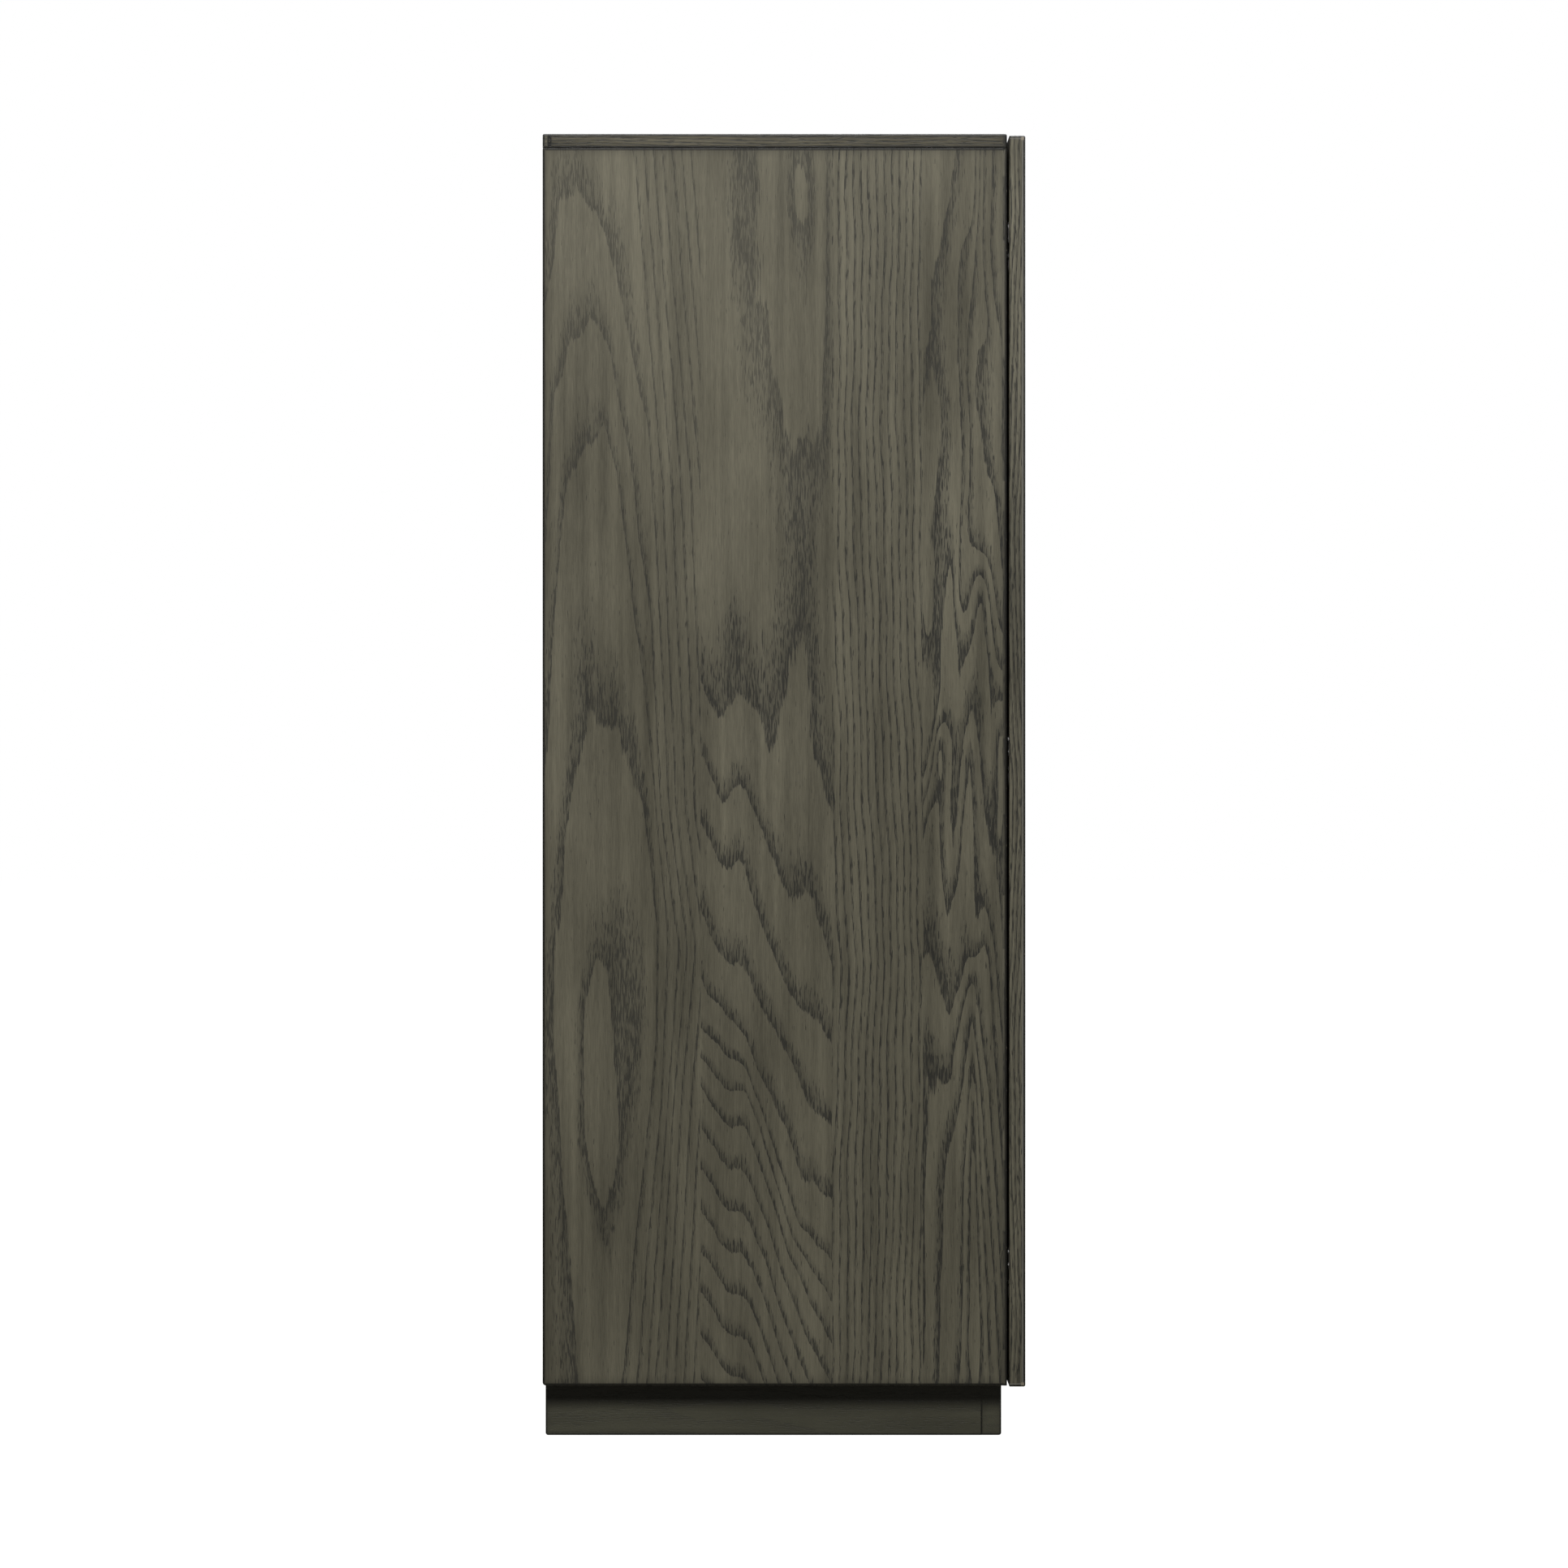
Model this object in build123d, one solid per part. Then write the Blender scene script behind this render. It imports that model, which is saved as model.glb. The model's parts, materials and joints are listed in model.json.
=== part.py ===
"""Pantry cabinet: a veneered case on a recessed plinth, with two full-overlay doors.

Millimetres. +Z is up, the doors face -Y, and the origin is the middle of the footprint on the floor.
The doors have no handles. Each turns on three single-pivot cup hinges and is held by two push
latches, so that it springs out when it is pressed into the gap behind it.
"""

from build123d import *
import os

os.makedirs("parts", exist_ok=True)

# ---------------------------------------------------------------- driving dimensions

overall_width = 914.0
overall_depth = 565.0
overall_height = 1524.0

panel = 18.0                    # sides, bottom, shelves and rails
top_thickness = 16.5
door_thickness = 19.0
door_gap = 2.6                  # between a door's back and the case's front edge
door_middle_gap = 3.0           # between the two doors
door_top_drop = 2.0             # the doors end this far below the top's upper face
door_bottom_drop = 1.3          # and this far below the sides' lower edge

plinth_height = 59.5
plinth_side_inset = 15.0
plinth_front_inset = 27.8       # from the doors' face
plinth_rear_inset = 3.0
plinth_front_thickness = 24.0

side_veneer_thickness = 0.6
case_lipping = 5.0
top_rear_lipping = 8.0
door_lipping = 3.0
back_thickness = 5.0
rabbet = 8.0                    # the back panels lie in a rabbet this wide and this deep

shelf_side_clearance = 1.5
shelf_front_setback = 10.0
shelf_rear_clearance = 6.5
fixed_shelf_setback = 3.0
fixed_shelf_z = 700.0           # undersides of the shelves
adjustable_shelf_z = {"lower_shelf": 400.0, "middle_shelf": 980.0, "upper_shelf": 1244.0}

hinge_from_door_end = 131.0
middle_hinge_z = 790.0
latch_from_middle = 60.0

# ---------------------------------------------------------------- planes of the case

half_width = overall_width / 2
door_front_y = -overall_depth / 2
door_back_y = door_front_y + door_thickness
case_front_y = door_back_y + door_gap
case_rear_y = overall_depth / 2
back_y = case_rear_y - rabbet                   # front face of the back panels
inner_x = half_width - panel                    # inner faces of the sides
top_z = overall_height - top_thickness          # underside of the top
floor_z = plinth_height + panel                 # upper face of the bottom panel
core_front_y = case_front_y + case_lipping
door_bottom_z = plinth_height - door_bottom_drop
door_top_z = overall_height - door_top_drop
hinge_z = (
    door_bottom_z + hinge_from_door_end,
    middle_hinge_z,
    door_top_z - hinge_from_door_end,
)

# ---------------------------------------------------------------- shared helpers


def block(x, y, z):
    """A box from three (low, high) pairs."""
    size = [high - low for low, high in (x, y, z)]
    middle = [(high + low) / 2 for low, high in (x, y, z)]
    return Pos(*middle) * Box(*size)


def span(side, near, far):
    """The (low, high) pair in X between two distances from the middle, on the left (-1) or right (1)."""
    return tuple(sorted((side * near, side * far)))


def ease(solid, radius, axis, **place):
    """Rounds the edges that run along axis and whose middles have the coordinates in place."""
    chosen = solid.edges().filter_by(axis)
    for name, value in place.items():
        chosen = chosen.filter_by(lambda e, n=name, v=value: abs(getattr(e.center(), n) - v) < 0.05)
    return fillet(chosen, radius)


def bore(point, direction, radius, depth):
    """A round hole's volume, from its mouth at point along direction."""
    return Plane(point, z_dir=direction) * Pos(0, 0, depth / 2) * Cylinder(radius, depth)


def cross_recess(across, depth):
    """The cross that a screwdriver fits, cut down from Z = 0."""
    arm = across * 0.28
    bars = Box(across, arm, depth) + Box(arm, across, depth)
    return Pos(0, 0, -depth / 2) * bars


def countersunk_screw(point, direction, length, shank_radius):
    """A wood screw whose flat head lies at point and whose shank runs along direction."""
    head_radius = shank_radius * 2
    head_height = shank_radius * 1.1
    tip = shank_radius * 1.6
    head = Pos(0, 0, head_height / 2) * Cone(head_radius, shank_radius, head_height)
    shank = Pos(0, 0, (length - tip) / 2) * Cylinder(shank_radius, length - tip)
    point_cone = Pos(0, 0, length - tip / 2) * Cone(shank_radius, shank_radius * 0.15, tip)
    recess = Rot(180, 0, 0) * cross_recess(head_radius * 1.1, head_height * 0.7)
    return Plane(point, z_dir=direction) * (head + shank + point_cone - recess)


def countersink(point, direction, shank_radius, depth):
    """The hole for a countersunk screw, a little larger than the screw."""
    clearance = pilot_fit
    shank = shank_radius + clearance
    cone = Pos(0, 0, shank_radius * 0.55) * Cone(shank_radius * 2 + clearance, shank, shank_radius * 1.1)
    hole = Pos(0, 0, depth / 2) * Cylinder(shank, depth)
    return Plane(point, z_dir=direction) * (cone + hole)


def pan_screw(point, direction, length, shank_radius):
    """A wood screw with a low round head that stands on the face at point."""
    head_radius = shank_radius * 2.1
    head_height = shank_radius * 1.2
    disc = Pos(0, 0, -head_height / 2) * Cylinder(head_radius, head_height)
    head = fillet(disc.edges().sort_by(Axis.Z)[0], head_height * 0.7)
    shank = Pos(0, 0, length / 2) * Cylinder(shank_radius, length)
    recess = Pos(0, 0, -head_height) * Rot(180, 0, 0) * cross_recess(head_radius * 1.1, head_height * 0.6)
    return Plane(point, z_dir=direction) * (head + shank - recess)


def save(name, *solids):
    """Writes one node, as one solid or a group of separate solids."""
    found = [s for shape in solids for s in shape.solids()]
    shape = found[0] if len(found) == 1 else Compound(found)
    export_step(shape, f"parts/{name}.step")


sides = {"left": -1, "right": 1}
pilot_fit = 0.05                # a screw's hole is larger than the screw by this much

# ---------------------------------------------------------------- fasteners inside the case

dowel_radius = 4.0
dowel_length = 30.0
dowel_in_side = 12.0            # depth of a dowel's hole in a side panel's face
dowel_in_top = 12.0
dowel_end_play = 0.5
dowel_fit = 0.1
dowel_y = (-225.0, -60.0, 110.0, 245.0)
rail_height = 70.0
rail_dowel_z = (top_z - rail_height + 18.0, top_z - 18.0)
rail_y = back_y - panel / 2


def dowel(point, direction):
    """A beech dowel with chamfered ends. It starts at point, which is inside the first piece."""
    peg = Pos(0, 0, dowel_length / 2) * Cylinder(dowel_radius, dowel_length)
    return Plane(point, z_dir=direction) * chamfer(peg.edges(), 0.8)


def dowel_hole(mouth, direction, depth):
    return bore(mouth, direction, dowel_radius + dowel_fit, depth)


shelf_dowel_places = [
    (y, z)
    for z in (plinth_height + panel / 2, fixed_shelf_z + panel / 2)
    for y in dowel_y
] + [(rail_y, z) for z in rail_dowel_z]
end_hole_depth = dowel_length - dowel_in_side + 2 * dowel_end_play


def carcass_dowels():
    """Dowels that join the sides to the bottom, the fixed shelf, the wall rail and the top."""
    pegs = []
    for side in sides.values():
        for y, z in shelf_dowel_places:
            start = side * (inner_x + dowel_in_side - dowel_end_play)
            pegs.append(dowel((start, y, z), (-side, 0, 0)))
        for y in dowel_y:
            start = top_z + dowel_in_top - dowel_end_play
            pegs.append(dowel((side * (half_width - panel / 2), y, start), (0, 0, -1)))
    return pegs


def end_dowel_holes(places):
    """Holes in both ends of a board that lies between the sides."""
    return [
        dowel_hole((side * inner_x, y, z), (-side, 0, 0), end_hole_depth)
        for side in sides.values()
        for y, z in places
    ]


# ---------------------------------------------------------------- shelf pins

pin_radius = 2.5
pin_fit = 0.05
pin_pitch = 32.0
pin_hole_depth = 10.0
pin_tab = (10.0, 12.0, 2.5)     # length, width and thickness of the tab that a shelf lies on
pin_tab_corner = 3.0
pin_collar = (1.2, 1.0)         # how far the collar stands out round the pin, and its thickness
pin_end_play = 1.0
pin_rows_y = (case_front_y + 60.0, back_y - 64.0)
pin_steps = (-2, -1, 0, 1, 2)   # holes above and below each shelf's own


def pin_height(shelf_z):
    return shelf_z - pin_tab[2] / 2


def pin_holes(side):
    """Rows of shelf-pin holes in one side panel's inner face."""
    return [
        bore((side * inner_x, y, pin_height(z) + step * pin_pitch), (side, 0, 0),
             pin_radius + pin_fit, pin_hole_depth)
        for z in adjustable_shelf_z.values()
        for y in pin_rows_y
        for step in pin_steps
    ]


def shelf_pin(side, y, shelf_z):
    """A steel pin with a flat tab, pushed into a side panel."""
    z = pin_height(shelf_z)
    length, width, thickness = pin_tab
    in_side = pin_hole_depth - pin_end_play
    collar_stand, collar_thickness = pin_collar
    shaft = bore((side * (inner_x + in_side), y, z), (-side, 0, 0), pin_radius, in_side)
    collar = bore((side * inner_x, y, z), (-side, 0, 0), pin_radius + collar_stand, collar_thickness)
    collar = collar & block(span(side, 0, inner_x), (y - width, y + width), (z - width, shelf_z))
    start = inner_x - collar_thickness
    tab = block(span(side, start - length, start), (y - width / 2, y + width / 2),
                (z - thickness / 2, z + thickness / 2))
    tab = ease(tab, pin_tab_corner, Axis.Z, X=side * (start - length))
    return shaft + collar + tab


# ---------------------------------------------------------------- hinges
# They are drawn for the left side, and the right is its mirror image.

# A hinge is drawn by two distances: across, from the side's outer face inwards, and ahead, forwards
# from the door's back face.
pivot_across = 8.5
pivot_ahead = 10.5
cup_across = 21.0
cup_radius = 17.4
cup_bore_radius = 17.5
cup_bore_depth = 14.0
cup_wall = 1.0
cup_depth = cup_bore_depth - 0.1
flange_thickness = 1.2
pivot_pin_radius = 1.25
pivot_running_fit = 0.05
knuckle_radius = 2.2
flange_across = (8.0, 34.0)
flange_half_height = 31.0
flange_corner = 8.0
rim_width = 1.4                 # the rim round the cup's mouth, cut off near the door's edge
rim_across = (5.5, 45.0)
cheek_up = (6.6, 10.4)          # the two cheeks hold the pin between these heights
cheek_across = (4.5, 12.5)
cheek_start = 5.5
mouth_slot = (8.0, 6.5, 6.5)    # across, ahead and half height of the gap that the arm passes
pin_half_length = 9.6
pin_hole_half_length = 9.8
arm_half_height = 6.0
arm_thickness = 2.2
arm_across = 21.7               # inner face of the long leg
arm_bend = 3.0
arm_end_ahead = -58.0
saddle_start = -9.0             # the arm widens into a saddle behind this line
saddle_half_height = 9.0
saddle_wall = (7.6, 9.0)
saddle_wall_start = -12.0
saddle_lift = 0.1               # clearance between the saddle's walls and the plate's wings
fixing_screw_ahead = -48.0
setting_screw_ahead = -20.0
arm_screw_hole = 2.3
fixing_screw_radius = 2.0
fixing_head = (3.6, 1.8)        # radius and height
setting_screw_radius = 2.2
setting_screw_stand = 0.6
screw_recess = 1.2
plate_thickness = 3.5
plate_ahead = (-55.0, -14.0)
plate_half_height = 7.3
plate_hole = 2.05
wing_thickness = 2.0
wing_half_width = 6.0
wing_half_height = 24.0
wing_corner = 5.0
plate_screw_ahead = -door_gap - 37.0
plate_screw_spread = 16.0
cup_screw_spread = 24.0
cup_screw_across = cup_across + 6.0
hinge_screw_radius = 1.75
hinge_hole_depth = 5.0          # more than the thickness of the flange and of the wings


def place(across, ahead, z):
    """A point of the left hinge in the cabinet's own frame."""
    return (-half_width + across, door_back_y - ahead, z)


def hinge_block(across, ahead, up, z):
    low = place(across[0], ahead[1], z + up[0])
    high = place(across[1], ahead[0], z + up[1])
    return block(*zip(low, high))


def hinge_cylinder(across, ahead, radius, up, z):
    """A round bar along Z, between two heights above the hinge's middle."""
    return bore(place(across, ahead, z + up[0]), (0, 0, 1), radius, up[1] - up[0])


def cup_space(radius, deep, z, start=0.0):
    """A round volume that goes into the door from its back face."""
    return bore(place(cup_across, start, z), (0, -1, 0), radius, deep)


def hinge_cup(z):
    """The pressed cup with its flange, and two cheeks that hold the pivot pin."""
    cup = cup_space(cup_radius, cup_depth, z)
    upright = (-flange_half_height, flange_half_height)
    flange = hinge_block(flange_across, (-flange_thickness, 0), upright, z)
    flange = fillet(flange.edges().filter_by(Axis.Y), flange_corner)
    rim = cup_space(cup_radius + rim_width, flange_thickness, z, -flange_thickness)
    rim = rim & hinge_block(rim_across, (-flange_thickness, flange_thickness), upright, z)
    above = flange_thickness * 2
    inside = cup_space(cup_radius - cup_wall, cup_depth - cup_wall + above, z, -above)
    shell = cup + flange + rim - inside
    for side in (-1, 1):
        up = sorted(side * height for height in cheek_up)
        cheek = hinge_block(cheek_across, (cheek_start, cup_depth - cup_wall / 2), up, z)
        shell += cheek & cup_space(cup_radius - cup_wall / 3, cup_depth, z)
    slot_across, slot_ahead, slot_half_height = mouth_slot
    shell -= hinge_block((0, slot_across), (-above, slot_ahead), (-slot_half_height, slot_half_height), z)
    pin_hole = (-pin_hole_half_length, pin_hole_half_length)
    shell -= hinge_cylinder(pivot_across, pivot_ahead, pivot_pin_radius, pin_hole, z)
    shell -= [
        countersink(place(cup_screw_across, -flange_thickness, z + up), (0, -1, 0), hinge_screw_radius,
                    hinge_hole_depth)
        for up in (-cup_screw_spread, cup_screw_spread)
    ]
    return shell


def hinge_pin(z):
    up = (-pin_half_length, pin_half_length)
    return hinge_cylinder(pivot_across, pivot_ahead, pivot_pin_radius, up, z)


def hinge_arm(z):
    """The cranked arm: it reaches round the door's edge into the cup and lies on the mounting plate."""
    up = (-arm_half_height, arm_half_height)
    half = arm_thickness / 2
    outer = arm_across + arm_thickness
    crank = hinge_block((pivot_across, outer), (pivot_ahead - half, pivot_ahead + half), up, z)
    leg = hinge_block((arm_across, outer), (arm_end_ahead, pivot_ahead + half), up, z)
    saddle_up = (-saddle_half_height, saddle_half_height)
    saddle = hinge_block((arm_across, outer), (arm_end_ahead, saddle_start), saddle_up, z)
    arm = crank + leg + saddle
    bend = place(outer, pivot_ahead + half, z)
    arm = ease(arm, arm_bend, Axis.Z, X=bend[0], Y=bend[1])
    wall_across = (panel + wing_thickness + saddle_lift, arm_across)
    for side in (-1, 1):
        wall_up = sorted(side * height for height in saddle_wall)
        arm += hinge_block(wall_across, (arm_end_ahead, saddle_wall_start), wall_up, z)
    arm += hinge_cylinder(pivot_across, pivot_ahead, knuckle_radius, up, z)
    running_hole = pivot_pin_radius + pivot_running_fit
    arm -= hinge_cylinder(pivot_across, pivot_ahead, running_hole, (up[0] - 1, up[1] + 1), z)
    for ahead in (fixing_screw_ahead, setting_screw_ahead):
        arm -= bore(place(arm_across - 1, ahead, z), (1, 0, 0), arm_screw_hole, arm_thickness + 2)
    return arm


def mounting_plate(z):
    """The cross-shaped plate screwed to the side, which carries the arm."""
    body_up = (-plate_half_height, plate_half_height)
    body = hinge_block((panel, panel + plate_thickness), plate_ahead, body_up, z)
    wing_ahead = (plate_screw_ahead - wing_half_width, plate_screw_ahead + wing_half_width)
    wings = hinge_block((panel, panel + wing_thickness), wing_ahead, (-wing_half_height, wing_half_height), z)
    wings = fillet(wings.edges().filter_by(Axis.X), wing_corner)
    plate = body + wings
    plate -= [
        countersink(place(panel + wing_thickness, plate_screw_ahead, z + up), (-1, 0, 0), hinge_screw_radius,
                    hinge_hole_depth)
        for up in (-plate_screw_spread, plate_screw_spread)
    ]
    plate -= bore(place(panel - 1, fixing_screw_ahead, z), (1, 0, 0), plate_hole, plate_thickness + 2)
    return plate


def arm_screws(z):
    """The screw that fixes the arm to its plate, and the set screw that shifts the door sideways."""
    head_face = arm_across + arm_thickness
    head_radius, head_height = fixing_head
    top = head_face + head_height
    fixing = bore(place(top, fixing_screw_ahead, z), (-1, 0, 0), head_radius, head_height)
    fixing += bore(place(head_face, fixing_screw_ahead, z), (-1, 0, 0), fixing_screw_radius,
                   head_face - panel - saddle_lift * 4)
    recess = cross_recess(head_radius * 1.2, screw_recess)
    fixing -= Plane(place(top, fixing_screw_ahead, z), z_dir=(1, 0, 0)) * recess
    top = head_face + setting_screw_stand
    setting = bore(place(top, setting_screw_ahead, z), (-1, 0, 0), setting_screw_radius,
                   arm_thickness + setting_screw_stand)
    recess = cross_recess(setting_screw_radius * 1.45, screw_recess)
    setting -= Plane(place(top, setting_screw_ahead, z), z_dir=(1, 0, 0)) * recess
    return [fixing, setting]


plate_screw_length = 15.0
cup_screw_length = 15.0


def plate_screws(z):
    return [
        countersunk_screw(place(panel + wing_thickness, plate_screw_ahead, z + up), (-1, 0, 0),
                          plate_screw_length, hinge_screw_radius)
        for up in (-plate_screw_spread, plate_screw_spread)
    ]


def cup_screws(z):
    return [
        countersunk_screw(place(cup_screw_across, -flange_thickness, z + up), (0, -1, 0),
                          cup_screw_length, hinge_screw_radius)
        for up in (-cup_screw_spread, cup_screw_spread)
    ]


def to_side(side, shapes):
    """The left hand's shapes as they are, or mirrored for the right hand."""
    return shapes if side == -1 else [mirror(s, Plane.YZ) for s in shapes]


# ---------------------------------------------------------------- push latches

latch_width = 15.0
latch_height = 14.0
latch_length = 74.0
latch_setback = 3.0
latch_base = (34.0, 2.0)        # width and thickness of its screw flange
plunger_radius = 4.4
plunger_fit = 0.2
plunger_length = 58.0
plunger_stroke = 20.0
strike_radius = 7.0
strike_thickness = 1.2
strike_clearance = 0.3
latch_screw_y = (case_front_y + latch_setback + 22.0, case_front_y + latch_setback + 56.0)
latch_screw_across = 12.0       # from the latch's middle line
latch_base_ends = (12.0, 8.0)   # the flange stops this far short of the housing's two ends
latch_corner = 3.0
latch_bore_rest = 4.0           # free length behind the plunger
plunger_drop = 0.5              # the plunger lies this far below the housing's middle
plunger_chamfer = 0.8
waist_start = 3.0               # the groove round the plunger, behind its tip
waist_width = 1.2
waist_depth = 0.5
magnet_radius = 2.6
magnet_length = 4.0
strike_chamfer = 0.4
latch_undersides = (top_z, fixed_shelf_z)
latch_screw_radius = 1.5
latch_screw_length = 13.0


def latch_case(x, z):
    """A push latch's housing, hung from the face at z."""
    front = case_front_y + latch_setback
    half = latch_width / 2
    body = block((x - half, x + half), (front, front + latch_length), (z - latch_height, z))
    body = fillet(body.edges().filter_by(Axis.Y).group_by(Axis.Z)[0], latch_corner)
    base_width, base_thickness = latch_base
    base_y = (front + latch_base_ends[0], front + latch_length - latch_base_ends[1])
    base = block((x - base_width / 2, x + base_width / 2), base_y, (z - base_thickness, z))
    base = fillet(base.edges().filter_by(Axis.Z), latch_corner)
    mouth = (x, front, plunger_axis_z(z))
    case = body + base
    case -= bore(mouth, (0, 1, 0), plunger_radius + plunger_fit, plunger_length + latch_bore_rest)
    holes = [
        countersink((px, py, z - base_thickness), (0, 0, 1), latch_screw_radius, base_thickness * 2)
        for px, py in latch_screw_places(x)
    ]
    return case - holes


def latch_screw_places(x):
    return [(x + sign * latch_screw_across, y) for sign, y in zip((-1, 1), latch_screw_y)]


def plunger_axis_z(z):
    return z - latch_height / 2 - plunger_drop


def latch_plunger(x, z):
    """The sprung rod with a magnet in its tip, pushed in as it is behind a closed door."""
    tip_y = door_back_y + strike_thickness + strike_clearance
    middle = plunger_axis_z(z)
    rod = bore((x, tip_y, middle), (0, 1, 0), plunger_radius, plunger_length)
    rod = chamfer(rod.edges().sort_by(Axis.Y)[0], plunger_chamfer)
    waist_point = (x, tip_y + waist_start, middle)
    waist = bore(waist_point, (0, 1, 0), plunger_radius + 1, waist_width)
    waist -= bore(waist_point, (0, 1, 0), plunger_radius - waist_depth, waist_width)
    return rod - waist


def latch_magnet(x, z):
    """The magnet, level with the plunger's tip."""
    tip_y = door_back_y + strike_thickness + strike_clearance
    return bore((x, tip_y, plunger_axis_z(z)), (0, 1, 0), magnet_radius, magnet_length)


def strike_face(x, z):
    """The middle of a strike plate's face, in front of the plunger of the latch hung at z."""
    return (x, door_back_y + strike_thickness, plunger_axis_z(z))


def strike(x, z):
    """The steel disc on the door's back that the magnet holds, and its screw."""
    face = strike_face(x, z)
    disc = bore(face, (0, -1, 0), strike_radius, strike_thickness)
    disc = chamfer(disc.edges().sort_by(Axis.Y)[-1], strike_chamfer)
    disc -= countersink(face, (0, -1, 0), latch_screw_radius, strike_thickness * 3)
    return Compound([disc, countersunk_screw(face, (0, -1, 0), latch_screw_length, latch_screw_radius)])


# ---------------------------------------------------------------- case panels


rear_corner_round = 4.0         # a side's lower rear corner
upper_round = 1.0               # the edges of the V groove between the sides and the top
lower_round = 1.5
inner_front_round = 0.8
top_round = 2.0
top_corner_round = 1.5


def side_outline(side):
    """A side panel before it is machined, with its outer edges eased."""
    board = block(span(side, inner_x, half_width), (core_front_y, case_rear_y), (plinth_height, top_z))
    outer = side * half_width
    board = ease(board, rear_corner_round, Axis.X, Y=case_rear_y, Z=plinth_height)
    board = ease(board, upper_round, Axis.Y, X=outer, Z=top_z)
    return ease(board, lower_round, Axis.Y, X=outer, Z=plinth_height)


def side_layer(side, near, far):
    """The part of a side between two distances from the cabinet's middle."""
    layer = block(span(side, near, far), (-overall_depth, overall_depth), (0, overall_height))
    return side_outline(side) & layer


def side_veneer(side):
    """The sheet of veneer leaves on a side's outer face."""
    return side_layer(side, half_width - side_veneer_thickness, half_width)


def side_panel(side):
    """A side's board with its rabbet, dowel holes, shelf-pin rows and hinge-plate screw holes."""
    board = side_layer(side, inner_x, half_width - side_veneer_thickness)
    board -= block(span(side, inner_x, inner_x + rabbet), (back_y, case_rear_y), (plinth_height, top_z))
    holes = pin_holes(side)
    holes += [dowel_hole((side * inner_x, y, z), (side, 0, 0), dowel_in_side) for y, z in shelf_dowel_places]
    holes += [
        dowel_hole((side * (half_width - panel / 2), y, top_z), (0, 0, -1), end_hole_depth) for y in dowel_y
    ]
    pilots = [
        bore(place(panel, plate_screw_ahead, z + up), (-1, 0, 0), hinge_screw_radius + pilot_fit,
             plate_screw_length - 1)
        for z in hinge_z
        for up in (-plate_screw_spread, plate_screw_spread)
    ]
    return board - holes - to_side(side, pilots) - back_screw_holes(side)


def side_lipping(side):
    """The solid strip glued to a side's front edge."""
    strip = block(span(side, inner_x, half_width), (case_front_y, core_front_y), (plinth_height, top_z))
    outer = side * half_width
    strip = ease(strip, upper_round, Axis.Z, X=outer, Y=case_front_y)
    return ease(strip, inner_front_round, Axis.Z, X=side * inner_x, Y=case_front_y)


def bottom_panel():
    board = block((-inner_x, inner_x), (core_front_y, back_y), (plinth_height, floor_z))
    return board - end_dowel_holes([(y, plinth_height + panel / 2) for y in dowel_y]) - plinth_pilots()


def fixed_shelf():
    front = case_front_y + fixed_shelf_setback + case_lipping
    z = (fixed_shelf_z, fixed_shelf_z + panel)
    board = block((-inner_x, inner_x), (front, back_y), z)
    pilots = latch_pilots(fixed_shelf_z)
    return board - end_dowel_holes([(y, fixed_shelf_z + panel / 2) for y in dowel_y]) - pilots


def front_strip(half_length, front_y, z):
    """The lipping on the front edge of a board, with its two long arrises eased."""
    strip = block((-half_length, half_length), (front_y, front_y + case_lipping), (z, z + panel))
    return ease(strip, upper_round, Axis.X, Y=front_y)


def adjustable_shelf(z):
    half = inner_x - shelf_side_clearance
    front = case_front_y + shelf_front_setback + case_lipping
    return block((-half, half), (front, back_y - shelf_rear_clearance), (z, z + panel))


def latch_pilots(z):
    return [
        bore((px, py, z), (0, 0, 1), latch_screw_radius + pilot_fit, latch_screw_length - 1)
        for side in sides.values()
        for px, py in latch_screw_places(side * latch_from_middle)
    ]


def top_panel():
    """The top's core. It lies on the sides and is lipped on all four edges."""
    half = half_width - case_lipping
    core = block((-half, half), (core_front_y, case_rear_y - top_rear_lipping), (top_z, overall_height))
    holes = [
        dowel_hole((side * (half_width - panel / 2), y, top_z), (0, 0, 1), dowel_in_top)
        for side in sides.values()
        for y in dowel_y
    ]
    return core - holes - latch_pilots(top_z)


def top_edge_strip(y, outer_y):
    """The front or rear lipping of the top, the whole width of the cabinet."""
    strip = block((-half_width, half_width), y, (top_z, overall_height))
    strip = ease(strip, top_corner_round, Axis.Z, Y=outer_y)
    strip = ease(strip, top_round, Axis.X, Y=outer_y, Z=overall_height)
    return ease(strip, upper_round, Axis.X, Y=outer_y, Z=top_z)


def top_side_strip(side):
    """A lipping on the top's end, between the front and rear ones."""
    y = (core_front_y, case_rear_y - top_rear_lipping)
    strip = block(span(side, half_width - case_lipping, half_width), y, (top_z, overall_height))
    strip = ease(strip, top_round, Axis.Y, X=side * half_width, Z=overall_height)
    return ease(strip, upper_round, Axis.Y, X=side * half_width, Z=top_z)


wall_hole_radius = 3.0
wall_hole_x = 200.0
wall_hole_z = top_z - rail_height / 2


def wall_holes(y, depth):
    return [
        bore((side * wall_hole_x, y, wall_hole_z), (0, 1, 0), wall_hole_radius, depth)
        for side in sides.values()
    ]


def wall_rail():
    """The rail under the top through which the cabinet is screwed to a wall."""
    board = block((-inner_x, inner_x), (back_y - panel, back_y), (top_z - rail_height, top_z))
    board -= end_dowel_holes([(rail_y, z) for z in rail_dowel_z])
    return board - wall_holes(back_y - panel - 1, panel + 2)


# ---------------------------------------------------------------- back panels

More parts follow.
